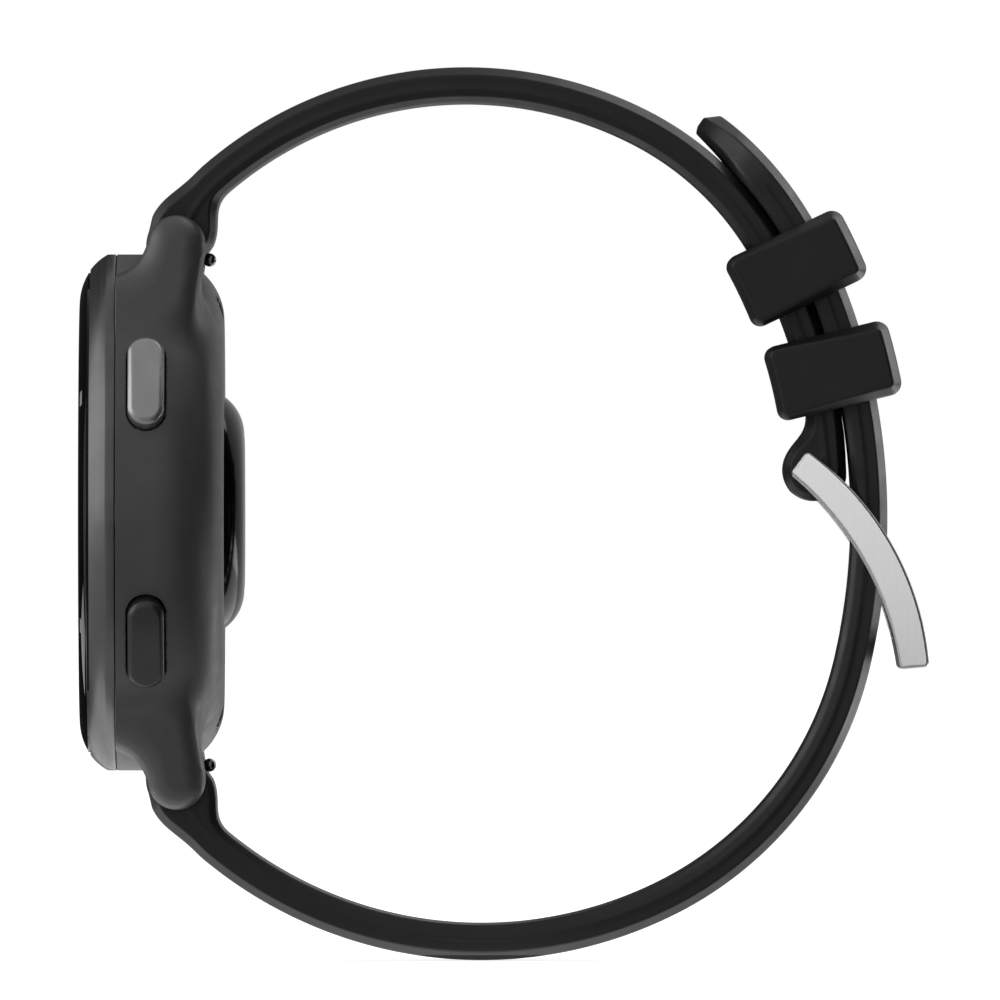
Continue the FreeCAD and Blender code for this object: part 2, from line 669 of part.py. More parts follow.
def knob_slot(reach, half):
    """The way that a knob needs as it slides, out to a reach from the bar's axis."""
    slot = block(0, reach, KNOB_Y - half, KNOB_Y + QUICK_TRAVEL + half, -half, half)
    slot.rotate(CENTRE, AXIS_Y, KNOB_TILT)
    slot.translate(V(BAR_X, 0, BAR_Z))
    return slot


def band_solid(chain):
    """The even part of one half of the band, with its long edges rounded."""
    half = BAND_W / 2
    plain = slab_y(face_of(band_edges(chain, BAND_T / 2, BAND_T / 2)), -half, half)
    rim = [e for e in plain.Edges if e.BoundBox.YLength < 0.01 and abs(e.BoundBox.YMin) > half - 0.01
           and e.Length > BAND_T + 0.1]
    return plain.makeFillet(EDGE_R, rim)


def make_strap_12():
    half = BAND_W / 2
    line_part = band_solid(CHAIN_12)
    root = slab_y(face_of(neck_outline()), -half, half)
    knuckle = rod_y(-half, half, KNUCKLE_R, BAR_X, BAR_Z)
    end = rod_y(-half, half, BAND_END_R, PIN_X, PIN_Z)
    band = joined([line_part, root, knuckle, end])
    slot_half = TONGUE_W / 2 + TONGUE_SLOT_GAP
    cuts = quick_release_cuts() + [
        rod_y(-half - 1, half + 1, BUCKLE_PIN_R, PIN_X, PIN_Z),
        rod_y(-slot_half, slot_half, BAND_END_R, PIN_X, PIN_Z),
        block(PIN_X - 4, PIN_X + 4, -slot_half, slot_half, PIN_Z - 4, PIN_Z)]
    return band.cut(group(cuts))


def hole_tool(distance):
    """The cutter for one adjustment hole, at a distance from the tip along the band's middle."""
    centre, radius, angle = along(CHAIN_6, distance)
    tool = block(radius - 4, radius + 4, -HOLE_W / 2, HOLE_W / 2, -HOLE_L / 2, HOLE_L / 2)
    tool = tool.makeFillet(HOLE_CORNER, [e for e in tool.Edges if abs(e.tangentAt(0).x) > 0.9])
    tool.rotate(CENTRE, AXIS_Y, -angle)
    tool.translate(V(centre[0], 0, centre[1]))
    return tool


def tip_tool():
    """The cutter that rounds the band's tip in plan.

    It is made with X across the band, Y towards the tip and Z through the band, and then turned into place.
    """
    centre, radius, angle = along(CHAIN_6, 0)
    oval = Part.Wire([Part.Ellipse(CENTRE, BAND_W / 2, TIP_REACH).toShape()])
    keep = Part.Face(oval).extrude(V(0, 0, 12))
    waste = block(-20, 20, 0, 20, -1, 13).cut(keep)
    waste.translate(V(0, -TIP_REACH, -6))
    waste.transformShape(FreeCAD.Matrix(0, 0, 1, 0, 1, 0, 0, 0, 0, 1, 0, 0, 0, 0, 0, 1))
    waste.translate(V(radius, 0, 0))
    waste.rotate(CENTRE, AXIS_Y, -angle)
    waste.translate(V(centre[0], 0, centre[1]))
    return waste


def make_strap_6():
    half = BAND_W / 2
    line_part = band_solid(CHAIN_6)
    root = mirrored_z(slab_y(face_of(neck_outline()), -half, half))
    knuckle = rod_y(-half, half, KNUCKLE_R, BAR_X, -BAR_Z)
    band = joined([line_part, root, knuckle])
    cuts = [mirrored_z(shape) for shape in quick_release_cuts()]
    for index in range(-HOLES_TO_TIP, HOLES_TO_LUG + 1):
        cuts.append(hole_tool(BUCKLE_HOLE + index * HOLE_PITCH))
    return band.cut(group(cuts)).cut(tip_tool())


# ---- spring bars -------------------------------------------------------------------------------------
def make_bar_tube():
    tube = rod_y(*TUBE_Y, TUBE_R, BAR_X, BAR_Z)
    return tube.cut(rod_y(-20, 20, TUBE_BORE_R, BAR_X, BAR_Z)).cut(knob_slot(2, KNOB_STALK_R + 0.18))


def make_bar_tip():
    plug = rod_y(PLUG_Y, TUBE_Y[1], TUBE_BORE_R, BAR_X, BAR_Z)
    tip = rod_y(TUBE_Y[1], BAR_TIP_Y, BAR_TIP_R, BAR_X, BAR_Z)
    return joined([plug, tip])


def make_bar_pin():
    """The sliding end of a spring bar, with the knob that draws it back."""
    tip = rod_y(-BAR_TIP_Y, PIN_SLIDER_Y[0], BAR_TIP_R, BAR_X, BAR_Z)
    slider = rod_y(*PIN_SLIDER_Y, TUBE_BORE_R - 0.06, BAR_X, BAR_Z)
    stalk = rod_x(0, KNOB_REACH, KNOB_STALK_R, KNOB_Y)
    knob = Part.makeSphere(KNOB_R, V(KNOB_REACH, KNOB_Y, 0))
    arm = joined([stalk, knob])
    arm.rotate(CENTRE, AXIS_Y, KNOB_TILT)
    arm.translate(V(BAR_X, 0, BAR_Z))
    return joined([tip, slider, arm])


def make_bar_spring():
    start = PIN_SLIDER_Y[1]
    helix = Part.makeHelix(SPRING_PITCH, PLUG_Y - start - 2 * SPRING_WIRE_R, SPRING_R)
    ring = Part.Wire([Part.makeCircle(SPRING_WIRE_R, V(SPRING_R, 0, 0), AXIS_Y)])
    coil = Part.Wire(helix.Edges).makePipeShell([ring], True, True)
    coil.rotate(CENTRE, AXIS_X, -90)
    coil.translate(V(BAR_X, start + SPRING_WIRE_R, BAR_Z))
    return coil


# ---- buckle ------------------------------------------------------------------------------------------
def make_buckle_frame():
    profile = face_of(outline([ARM_UPPER[0], (ARM_INNER_MID, ARM_LOWER[0]),
                               ARM_LOWER[1], (ARM_OUTER_MID, ARM_UPPER[1])]))
    arms = [slab_y(profile, ARM_IN, ARM_OUT), slab_y(profile, -ARM_OUT, -ARM_IN)]
    bar = slab_y(profile, -ARM_IN, ARM_IN).common(block(40, 60, -20, 20, -20, CROSSBAR_TOP_Z))
    frame = joined(arms + [bar])
    seat_half = TONGUE_W / 2 + 0.4
    seat = slab_y(face_of(tongue_edges(TONGUE_T / 2 + 0.08, 1.2)), -seat_half, seat_half)
    hole_end = ARM_OUT - ARM_SKIN
    pin_hole = rod_y(-hole_end, hole_end, BUCKLE_PIN_R + HINGE_GAP, PIN_X, PIN_Z)
    return frame.cut(group([seat, pin_hole]))


def make_buckle_pin():
    pin_end = ARM_OUT - ARM_SKIN - 0.1
    return rod_y(-pin_end, pin_end, BUCKLE_PIN_R, PIN_X, PIN_Z)


def heading(degrees, distance):
    """A step downwards and outwards, measured from straight down."""
    return (distance * math.sin(math.radians(degrees)), -distance * math.cos(math.radians(degrees)))


def tongue_edges(inner, outer):
    """The outline of the tongue's blade, with its inner and outer faces at these distances from its middle."""
    a0, a1 = TONGUE_HEADING, TONGUE_END_HEADING
    base = on_circle((PIN_X, PIN_Z), TONGUE_T / 2 - TONGUE_BARREL_R, a0)
    step = heading(a0, TONGUE_STRAIGHT)
    bend = (base[0] + step[0], base[1] + step[1])
    centre = on_circle(bend, -TONGUE_BEND_R, a0)

    def side(offset):
        """Points along one face, offset outwards from the middle line."""
        first = on_circle(base, offset, a0)
        turn = [on_circle(centre, TONGUE_BEND_R + offset, a) for a in (a0, (a0 + a1) / 2, a1)]
        end_step = heading(a1, TONGUE_END)
        return [first] + turn + [(turn[2][0] + end_step[0], turn[2][1] + end_step[1])]

    low = side(-inner)
    high = side(outer)
    return outline([low[0], low[1], (low[2], low[3]), low[4], high[4], high[3], (high[2], high[1]), high[0]])


def make_buckle_tongue():
    blade = slab_y(face_of(tongue_edges(TONGUE_T / 2, TONGUE_T / 2)), -TONGUE_W / 2, TONGUE_W / 2)
    barrel = rod_y(-TONGUE_W / 2, TONGUE_W / 2, TONGUE_BARREL_R, PIN_X, PIN_Z)
    bore = rod_y(-TONGUE_W, TONGUE_W, BUCKLE_PIN_R + HINGE_GAP, PIN_X, PIN_Z)
    return joined([blade, barrel]).cut(bore)


# ---- keepers -----------------------------------------------------------------------------------------
def make_keeper(middle_deg):
    inner_r = STACK_R - STACK_GAP - BAND_T - KEEPER_GAP
    outer_r = STACK_R + STACK_GAP + BAND_T + KEEPER_GAP
    half = BAND_W / 2 + KEEPER_GAP

    def rounded(extra, corner):
        """The loop's section, grown by extra, with rounded corners."""
        flat = Part.makePlane(outer_r - inner_r + 2 * extra, 2 * (half + extra),
                              V(inner_r - extra, -half - extra, 0))
        bar = flat.extrude(V(0, 0, 1))
        bar = bar.makeFillet(corner, [e for e in bar.Edges if abs(e.tangentAt(0).z) > 0.9])
        return [f for f in bar.Faces if f.BoundBox.ZMax < 0.01][0]

    loop = rounded(KEEPER_WALL, KEEPER_CORNER).cut(rounded(0.0, KEEPER_INNER_CORNER))
    solid = loop.revolve(CENTRE, AXIS_Y, -2 * KEEPER_HALF)
    solid.rotate(CENTRE, AXIS_Y, -(middle_deg - KEEPER_HALF))
    solid.translate(V(STACK_X, 0, STACK_Z))
    return solid.Solids[0]


# ---- every node --------------------------------------------------------------------------------------
def build():
    parts = {
        "case": make_case(),
        "bezel": make_bezel(),
        "lens": make_lens(),
        "lens_adhesive": ring_x(DISPLAY_X[0], BEZEL_LEDGE_X, LENS_R - 0.1, BEZEL_INNER_R + 0.5),
        "case_gasket": ring_x(SEAM_X, SEAM_X + GASKET_T, GASKET_R[1], GASKET_R[0]),
        "case_screws": make_screws(),
        "display_module": rod_x(*DISPLAY_X, DISPLAY_R),
        "display_flex": make_display_flex(),
        "middle_frame": make_middle_frame(),
        "main_board": make_main_board(),
        "board_chips": make_board_chips(),
        "shield_can": make_shield_can(),
        "antenna_contacts": make_antenna_contacts(),
        "battery": make_battery(),
        "battery_pad": make_battery_pad(),
        "battery_cradle": make_battery_cradle(),
        "motor_base": make_motor_base(),
        "motor_cap": make_motor_cap(),
        "motor_rotor": make_motor_rotor(),
        "sensor_window": make_sensor_window(),
        "sensor_board": make_sensor_board(),
        "sensor_leds": make_sensor_leds(),
        "sensor_photodiodes": make_sensor_photodiodes(),
        "sensor_baffle": make_sensor_baffle(),
        "charge_contacts": make_charge_contacts(),
        "button_flex": make_button_flex(),
        "button_bracket": make_button_bracket(),
        "strap_12": make_strap_12(),
        "strap_6": make_strap_6(),
        "buckle_frame": make_buckle_frame(),
        "buckle_pin": make_buckle_pin(),
        "buckle_tongue": make_buckle_tongue(),
    }
    for name, side in (("action", 1), ("back", -1)):
        parts[name + "_button"] = make_button(side)
        parts[name + "_button_seal"] = make_button_seal(side)
        parts[name + "_button_clip"] = make_button_clip(side)
        parts[name + "_switch"] = make_switch(side)
        parts[name + "_switch_plunger"] = make_switch_plunger(side)
    for maker, what in ((make_bar_tube, "tube"), (make_bar_tip, "fixed_tip"), (make_bar_pin, "release_pin"),
                        (make_bar_spring, "spring")):
        shape = maker()
        parts["bar_12_" + what] = shape
        parts["bar_6_" + what] = mirrored_z(shape)
    for name, degrees in KEEPER_ANGLES.items():
        parts[name] = make_keeper(degrees)
    return parts


def main():
    os.makedirs("parts", exist_ok=True)
    for name, shape in build().items():
        shape.exportStep(f"parts/{name}.step")
        print(f"{name:22s} solids {len(shape.Solids)}  volume {shape.Volume:9.3f}  valid {shape.isValid()}")


main()
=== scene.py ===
"""The looks of the GPS running watch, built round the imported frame.

Shapes are worked out in millimetres and written to Blender in metres. The big visible parts are the zero
surfaces of distance fields: a field is negative inside the part, and joining two fields smoothly gives the
moulded blends and rounded edges of the real thing. Turned parts are lathe profiles of (depth, radius).
"""
import json
import math
import bmesh
import bpy
import numpy as np
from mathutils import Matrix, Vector


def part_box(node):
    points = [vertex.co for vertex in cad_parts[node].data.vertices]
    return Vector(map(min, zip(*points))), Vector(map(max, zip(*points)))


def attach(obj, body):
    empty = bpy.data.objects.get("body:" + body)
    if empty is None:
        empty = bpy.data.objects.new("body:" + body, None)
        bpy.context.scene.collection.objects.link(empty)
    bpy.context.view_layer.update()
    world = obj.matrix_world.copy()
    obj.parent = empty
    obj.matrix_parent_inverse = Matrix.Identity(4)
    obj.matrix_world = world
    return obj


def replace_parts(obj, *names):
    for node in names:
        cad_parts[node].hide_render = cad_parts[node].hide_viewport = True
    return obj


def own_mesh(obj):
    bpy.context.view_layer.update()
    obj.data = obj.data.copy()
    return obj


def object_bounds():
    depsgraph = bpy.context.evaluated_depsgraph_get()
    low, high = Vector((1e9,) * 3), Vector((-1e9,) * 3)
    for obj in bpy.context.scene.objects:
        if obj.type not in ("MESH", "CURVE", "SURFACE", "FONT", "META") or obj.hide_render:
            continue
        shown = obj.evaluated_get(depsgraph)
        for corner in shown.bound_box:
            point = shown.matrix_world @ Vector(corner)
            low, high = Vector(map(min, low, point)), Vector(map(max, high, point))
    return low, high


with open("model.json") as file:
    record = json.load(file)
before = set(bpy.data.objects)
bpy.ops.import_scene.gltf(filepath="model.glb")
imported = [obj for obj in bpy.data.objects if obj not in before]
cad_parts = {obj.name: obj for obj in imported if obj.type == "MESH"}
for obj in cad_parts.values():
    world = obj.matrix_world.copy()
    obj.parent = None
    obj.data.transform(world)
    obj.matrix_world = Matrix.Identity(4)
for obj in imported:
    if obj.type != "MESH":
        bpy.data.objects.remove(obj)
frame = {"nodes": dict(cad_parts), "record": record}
cad_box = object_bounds()

MM = 0.001
FINE = 1.0


def span(node):
    """The lowest and highest corners of a CAD node, in millimetres."""
    return [[value / MM for value in corner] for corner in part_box(node)]


# ---- sizes read from the frame ----
LENS_LOW, LENS_HIGH = span("lens")
PIN_LOW, PIN_HIGH = span("buckle_pin")
BAR_LOW, BAR_HIGH = span("bar_12_tube")
SCREW_LOW, SCREW_HIGH = span("case_screws")

LENS_X, LENS_BACK_X, LENS_R = LENS_LOW[0], LENS_HIGH[0], LENS_HIGH[1]
# the high corner of a node gives its back and its half width
SEAM_X, CASE_R = span("bezel")[1][:2]
BACK_X = span("case")[1][0]
SENSOR_X = span("sensor_window")[1][0]
BAND_HALF_W = span("strap_6")[1][1]
PIN = ((PIN_LOW[0] + PIN_HIGH[0]) / 2, (PIN_LOW[2] + PIN_HIGH[2]) / 2)
BAR = ((BAR_LOW[0] + BAR_HIGH[0]) / 2, (BAR_LOW[2] + BAR_HIGH[2]) / 2)

# ---- sizes of the shapes themselves ----
SHOULDER_X = -7.4           # where the side of the case starts to round into the back
BACK_FLAT_R = 15.7
CAVITY_R = 18.2
CASE_WALL = 1.25
LENS_FLAT_R = 17.0
LENS_CURVE_MID = (-13.26, 18.55)
LENS_EDGE_X = -12.62        # where the curved lens edge meets the bezel
GROOVE_W, GROOVE_DEPTH = 0.18, 0.22     # the groove between the glass and the bezel
TICK_R, TICK_HALF_DEG, TICK_LIFT = (18.3, 18.75), 2.0, 0.012
BEZEL_CURVE_MID = (-12.07, 20.48)
BEZEL_SIDE_X = -11.2        # where the bezel's curve runs into its straight side
BEZEL_INNER_R = 16.1
SENSOR_BASE_R = 9.48
SENSOR_NECK_R = 8.95
SENSOR_CURVE_MID = (-0.62, 8.35)
SENSOR_CROWN_R = 6.3
SENSOR_ROOF_X, SENSOR_HOLLOW_R = -0.85, 7.6     # the hollow under the window

LUG_GAP_HALF = 10.15
LUG_TIP_R = 2.33
LUG_ROOT = (-6.5, 17.5)
LUG_ROOT_R = 2.4
LUG_FLARE_FROM, LUG_FLARE_TOP = 14.0, 18.9
LUG_FLARE_BACK_X, LUG_FLARE_BLEND = -5.5, 3.5       # the lug widens towards the bezel
LUG_BEVEL, LUG_BEVEL_STEEPNESS = 1.1, 0.9   # the wide soft bevel along a lug's outer edges
LUG_EDGE = 0.45
LUG_BLEND = 2.2             # how softly a lug grows out of the case
LUG_SIDE_Y, LUG_SIDE_TAPER, LUG_SIDE_Z = 14.4, 0.2, 16.0    # a lug's outer side leans in with height
BAND_ROOM_R = 2.6           # the room for the band's knuckle between the lugs
BAR_HOLE_R, BAR_HOLE_DEPTH = 0.5, 1.3

SCREW_HEAD_R = 1.1
SCREW_SEAT = 8.85           # from the tip of a screw to the seat of its head
SCREW_BOSS_R, SCREW_BOSS_TOP, SCREW_HOLE_R = 1.5, 1.0, 0.65     # a boss ends this far under the back
HEAD_GAP, NECK_GAP, STEM_GAP = 0.06, 0.05, 0.07     # round screw heads, the sensor and the buttons
SCREW_PLACE = (SCREW_HIGH[1] - SCREW_HEAD_R, SCREW_HIGH[2] - SCREW_HEAD_R)
CONTACT_Z = -12.4
CONTACT_STEP = 1.6
CONTACT_HOLE_R = 0.46
CONTACT_RECESS, CONTACT_RECESS_DEPTH = (3.7, 1.3, 1.0), 0.35    # half length, half height, corner radius

BUTTON_X = -7.96
BUTTON_ANGLE = 30           # degrees above and below 3 o'clock
BUTTON_HALF_W = 1.5
BUTTON_HALF_RUN = 2.58      # half the straight part of a button's outline
BUTTON_FACE_R = 22.2
BUTTON_UNDER_R = 20.3
BUTTON_CHAMFER = 0.34
POCKET_FLOOR_R = 19.7
POCKET_GAP = 0.1
STEM_R, STEM_NECK_R = 0.9, 0.62
STEM_END_R = 16.75
STEM_GROOVES = ((18.75, 19.25), (17.7, 18.0))

BAND_T = 2.9
OUTER_BEVEL, INNER_BEVEL = 0.66, 0.56     # width of the flat bevels along the band's edges
BEVEL_STEEPNESS = 1.5       # how much deeper across the band than wide
FLAT_BEVEL_STEEPNESS = 0.65 # the same on the wrist side of the 6 o'clock half
RIDGE_OFFSET, RIDGE_HALF_W, RIDGE_HEIGHT = -0.35, 0.30, 0.11    # the mould's parting line
STACK = (6.09, 1.35)        # centre of the round stretch where both halves of the band lie together
STACK_R = 43.25
HOLE_HALF = (2.7, 1.5)      # adjustment holes: along the band, across it
HOLE_CORNER = 0.8
HOLE_PITCH = 7.2
HOLES_TO_TIP, HOLES_TO_LUG = 4, 6
TIP_REACH = 7.0
TIP_TAPER, TIP_TAPER_RUN = 0.5, 4.5         # the free end thins on its wrist side
TIP_BEVEL, TIP_BEVEL_RUN = 0.95, 2.5        # and has a broader bevel outside
TIP_OVERHANG = 0.4          # how far the free end reaches past the start of its chain of arcs
KNUCKLE_R = 2.2
ROOT_SWELL, ROOT_SWELL_R = (-5.01, 22.93), 2.51     # the thick end of the band outside its lugs
ROOT_BLEND = 2.4
ROOT_RUN, ROOT_PAST = 11, 3.2       # how far the thick end reaches before and past the chain's end
KNOB_SLOT_TILT, KNOB_SLOT_Y = 26, -6.75     # degrees from the depth direction, and place across the band
KNOB_SLOT = (0.75, 1.4, 0.5)                # half height, half length, corner radius
KNOB_SLOT_REACH = 4         # from the spring bar, towards the wrist
BAR_BORE_R, PIN_BORE_R = 0.9, 0.77
BUCKLE_KNUCKLE_R, BUCKLE_KNUCKLE_BLEND = 2.55, 2.4
PEEL, PEEL_RUN = 0.30, 6.0  # the gap to the other half that opens towards the buckle end

KEEPER_ANGLES = {"keeper_lower": 13.7, "keeper_upper": 25.5}
KEEPER_HALF_DEG = 4.1
KEEPER_WALL = 1.9
KEEPER_GAP = 0.34
KEEPER_CORNER = 1.0
KEEPER_BEVEL, KEEPER_BEVEL_EXTRA = 0.42, 0.28   # the bevel is wider towards the outside of the wrist

ARM_UPPER = ((44.45, 3.15), (45.88, 5.08))
ARM_LOWER = ((53.4, -12.85), (55.85, -12.62))
ARM_INNER_MID = (50.0, -3.23)
ARM_OUTER_MID = (52.9, -2.75)
ARM_IN, ARM_OUT = 10.3, 12.0
CROSSBAR_TOP_Z = -10.3
TONGUE_HALF_W, TONGUE_HALF_T = 1.1, 0.5
TONGUE_BARREL_R = 1.3
TONGUE_HEADING, TONGUE_END_HEADING = 39.6, 9.7
TONGUE_STRAIGHT, TONGUE_BEND_R, TONGUE_END = 10.0, 13.0, 1.45
TONGUE_ROOM_HALF, TONGUE_ROOM_GAP = 4, 0.35     # the gap in the band that the tongue's barrel turns in
SEAT_DEPTH_GAP, SEAT_SIDE_GAP = 0.08, 0.4       # round the end of the tongue, in the crossbar
BUCKLE_BORE_R, BUCKLE_BORE_WALL = 0.8, 0.8
FAR = 99                    # a distance outside everything


# ---- plane geometry ----
def on_circle(centre, radius, degrees):
    angle = math.radians(degrees)
    return (centre[0] + radius * math.cos(angle), centre[1] + radius * math.sin(angle))


def circle_through(a, b, c):
    """Centre and radius of the circle through three points."""
    ax, ay = a[0] - c[0], a[1] - c[1]
    bx, by = b[0] - c[0], b[1] - c[1]
    det = 2 * (ax * by - ay * bx)
    a2, b2 = ax * ax + ay * ay, bx * bx + by * by
    centre = (c[0] + (by * a2 - ay * b2) / det, c[1] + (ax * b2 - bx * a2) / det)
    return centre, math.dist(centre, a)


def bend_chain(start_centre, radius, start_deg, bends, direction):
    """Arcs that run into each other, as (centre, radius, from, to), from bends of (radius, degrees).

    direction 1 is anticlockwise.
    """
    chain = []
    centre, angle = start_centre, start_deg
    for new_radius, turn in bends:
        centre = on_circle(centre, radius - new_radius, angle)
        radius = new_radius
        chain.append((centre, radius, angle, angle + direction * turn))
        angle += direction * turn
    return chain


MID_12 = STACK_R - BAND_T / 2
MID_6 = STACK_R + BAND_T / 2
STACK_START, STACK_END = 13.6, 27.9
END_12 = 3.0
TIP_BEND = (27.9, 25.6)
BUCKLE_BEND = (52.2, 26.9)
HOLE_ANGLE = -2.85          # degrees round the buckle bend to the hole in use

CHAIN_12 = bend_chain(STACK, MID_12, END_12,
                      [(MID_12, STACK_END - END_12), (24.92, 34.7), (31.23, 68.2), (10.0, 36.5)], 1)
TIP_START = bend_chain(STACK, MID_6, STACK_END, [TIP_BEND], 1)[0]
CHAIN_6 = bend_chain(TIP_START[0], TIP_BEND[0], TIP_START[3],
                     [TIP_BEND, (MID_6, STACK_END - STACK_START), BUCKLE_BEND,
                      (28.7, 50.25), (33.95, 65.9), (10.0, 37.1)], -1)
HOLE_IN_USE = (sum(r * math.radians(abs(a1 - a0)) for _, r, a0, a1 in CHAIN_6[:2])
               + BUCKLE_BEND[0] * math.radians(STACK_START - HOLE_ANGLE))


# ---- distance fields ----
def both(a, b, edge=0.0):
    """Inside both fields, with their common edge rounded to a radius."""
    a, b = a + edge, b + edge
    return np.minimum(np.maximum(a, b), 0) + np.hypot(np.maximum(a, 0), np.maximum(b, 0)) - edge


def either(a, b, blend=0.0):
    """Inside either field, with a soft blend where they meet."""
    if blend == 0:
        return np.minimum(a, b)
    share = np.clip(0.5 + 0.5 * (b - a) / blend, 0, 1)
    return b + share * (a - b) - blend * share * (1 - share)


def without(a, b, edge=0.0):
    return both(a, -b, edge)


def bevelled(a, b, width, steepness, edge=0.1):
    """Inside both fields, with a flat bevel on their common edge, as wide as said on a's side."""
    slant = (steepness * (a + width) + b) / np.hypot(steepness, 1)
    return both(both(a, b), slant, edge)


def disc(u, v, centre, radius):
    return np.hypot(u - centre[0], v - centre[1]) - radius


def frame_box(u, v, half_u, half_v, corner):
    """A rectangle with rounded corners, about the origin."""
    return both(np.abs(u) - half_u, np.abs(v) - half_v, corner)


def tapered(u, v, a, b, radius_a, radius_b):
    """A straight bar with round ends of different radii."""
    du, dv = b[0] - a[0], b[1] - a[1]
    share = np.clip(((u - a[0]) * du + (v - a[1]) * dv) / (du * du + dv * dv), 0, 1)
    return np.hypot(u - a[0] - share * du, v - a[1] - share * dv) - (radius_a + share * (radius_b - radius_a))


def half_plane(u, v, a, b):
    """Negative on the left of the line from a to b."""
    du, dv = b[0] - a[0], b[1] - a[1]
    return ((u - a[0]) * dv - (v - a[1]) * du) / math.hypot(du, dv)


def pot(x, r, back_x, side_r, corner_x, corner_r):
    """A round body closed at the back, whose side turns into the back in a quarter ellipse."""
    across = np.maximum(x - corner_x, 0) / (back_x - corner_x)
    outward = np.maximum(r - corner_r, 0) / (side_r - corner_r)
    return (np.hypot(across, outward) - 1) * (side_r - corner_r)


def along_band(chain, x, z):
    """Distance along a chain of arcs, and offset from it, outwards positive."""
    nearest = np.full(np.shape(x), np.inf)
    run, offset = np.zeros(np.shape(x)), np.zeros(np.shape(x))
    start = 0.0
    for number, (centre, radius, a0, a1) in enumerate(chain):
        rho = np.hypot(x - centre[0], z - centre[1])
        middle = (a0 + a1) / 2
        angle = np.degrees(np.arctan2(z - centre[1], x - centre[0])) - middle
        angle = middle + (angle + 180) % 360 - 180
        share = (angle - a0) / (a1 - a0)
        low = -math.inf if number == 0 else 0.0
        high = math.inf if number == len(chain) - 1 else 1.0
        length = radius * math.radians(abs(a1 - a0))
        miss = np.abs(share - np.clip(share, low, high)) * length
        distance = np.hypot(rho - radius, miss)
        closer = distance < nearest
        nearest = np.where(closer, distance, nearest)
        run = np.where(closer, start + share * length, run)
        offset = np.where(closer, rho - radius, offset)
        start += length
    return run, offset, start


def near_button(y, z, side):
    """Distance outwards from the watch's axis through a button, and sideways from the button's middle."""
    c, s = math.cos(math.radians(BUTTON_ANGLE)), side * math.sin(math.radians(BUTTON_ANGLE))
    return -c * y + s * z, s * y + c * z


def button_outline(x, sideways):
    run = np.maximum(np.abs(sideways) - BUTTON_HALF_RUN, 0)
    return np.hypot(x - BUTTON_X, run) - BUTTON_HALF_W


# ---- the case ----
def lug_field(x, y, z):
    arm = tapered(x, z, BAR, LUG_ROOT, LUG_TIP_R, LUG_ROOT_R)
    flare = np.maximum(z - LUG_FLARE_TOP, np.maximum(x - LUG_FLARE_BACK_X, LUG_FLARE_FROM - z))
    side_view = either(arm, flare, LUG_FLARE_BLEND)
    outer_face = np.abs(y) - (LUG_SIDE_Y - LUG_SIDE_TAPER * (z - LUG_SIDE_Z))
    lug = bevelled(side_view, outer_face, LUG_BEVEL, LUG_BEVEL_STEEPNESS, LUG_EDGE)
    return both(lug, LUG_GAP_HALF - np.abs(y), LUG_EDGE)


def case_field(x, y, z):
    r, height = np.hypot(y, z), np.abs(z)
    shell = both(pot(x, r, BACK_X, CASE_R, SHOULDER_X, BACK_FLAT_R), SEAM_X - x, 0.08)
    shell = either(shell, np.maximum(lug_field(x, y, height), SEAM_X - x), LUG_BLEND)
    shell = np.maximum(shell, SEAM_X - x)
    band_room = both(disc(x, height, BAR, BAND_ROOM_R), np.abs(y) - LUG_GAP_HALF)
    shell = without(shell, band_room, 0.2)
    bar_hole = np.maximum(disc(x, height, BAR, BAR_HOLE_R), np.abs(y) - LUG_GAP_HALF - BAR_HOLE_DEPTH)
    shell = without(shell, bar_hole, 0.05)
    cavity = pot(x, r, BACK_X - CASE_WALL, CAVITY_R, SHOULDER_X, BACK_FLAT_R)
    shell = without(shell, cavity)
    to_screw = disc(np.abs(y), height, SCREW_PLACE, 0)
    boss = np.maximum(to_screw - SCREW_BOSS_R, np.maximum(SEAM_X - x, x - BACK_X + SCREW_BOSS_TOP))
    shell = either(shell, boss)
    shell = without(shell, to_screw - SCREW_HOLE_R)
    counterbore = np.maximum(to_screw - SCREW_HEAD_R - HEAD_GAP, SCREW_LOW[0] + SCREW_SEAT - x)
    shell = without(shell, counterbore, 0.04)
    shell = without(shell, r - SENSOR_NECK_R - NECK_GAP, 0.1)
    recess = np.maximum(frame_box(y, z - CONTACT_Z, *CONTACT_RECESS), BACK_X - CONTACT_RECESS_DEPTH - x)
    shell = without(shell, recess, 0.1)
    pin_y = (y + 2 * CONTACT_STEP) % CONTACT_STEP - CONTACT_STEP / 2
    pins = np.maximum(disc(pin_y, z, (0, CONTACT_Z), CONTACT_HOLE_R), np.abs(y) - 2 * CONTACT_STEP)
    shell = without(shell, pins)
    for side in (-1, 1):
        outward, sideways = near_button(y, z, side)
        pocket = np.maximum(button_outline(x, sideways) - POCKET_GAP, POCKET_FLOOR_R - outward)
        shell = without(shell, pocket, 0.06)
        bore = np.maximum(disc(x, sideways, (BUTTON_X, 0), STEM_R + STEM_GAP), STEM_END_R - outward)
        shell = without(shell, bore)
    return shell


# ---- the buttons ----
def button_field(side):
    def field(x, y, z):
        outward, sideways = near_button(y, z, side)
        wall = button_outline(x, sideways)
        top = np.hypot(outward, sideways) - BUTTON_FACE_R
        chamfer = (wall + top + BUTTON_CHAMFER) / math.sqrt(2)
        cap = both(both(wall, top, 0.04), chamfer, 0.12)
        cap = both(cap, BUTTON_UNDER_R - outward, 0.08)
        groove = np.zeros(np.shape(x))
        for inner, outer in STEM_GROOVES:
            groove = np.where((outward > inner) & (outward < outer), STEM_R - STEM_NECK_R, groove)
        stem = np.maximum(disc(x, sideways, (BUTTON_X, 0), STEM_R) + groove,
                          np.maximum(STEM_END_R - outward, outward - BUTTON_UNDER_R - 0.3))
        return either(cap, stem)
    return field


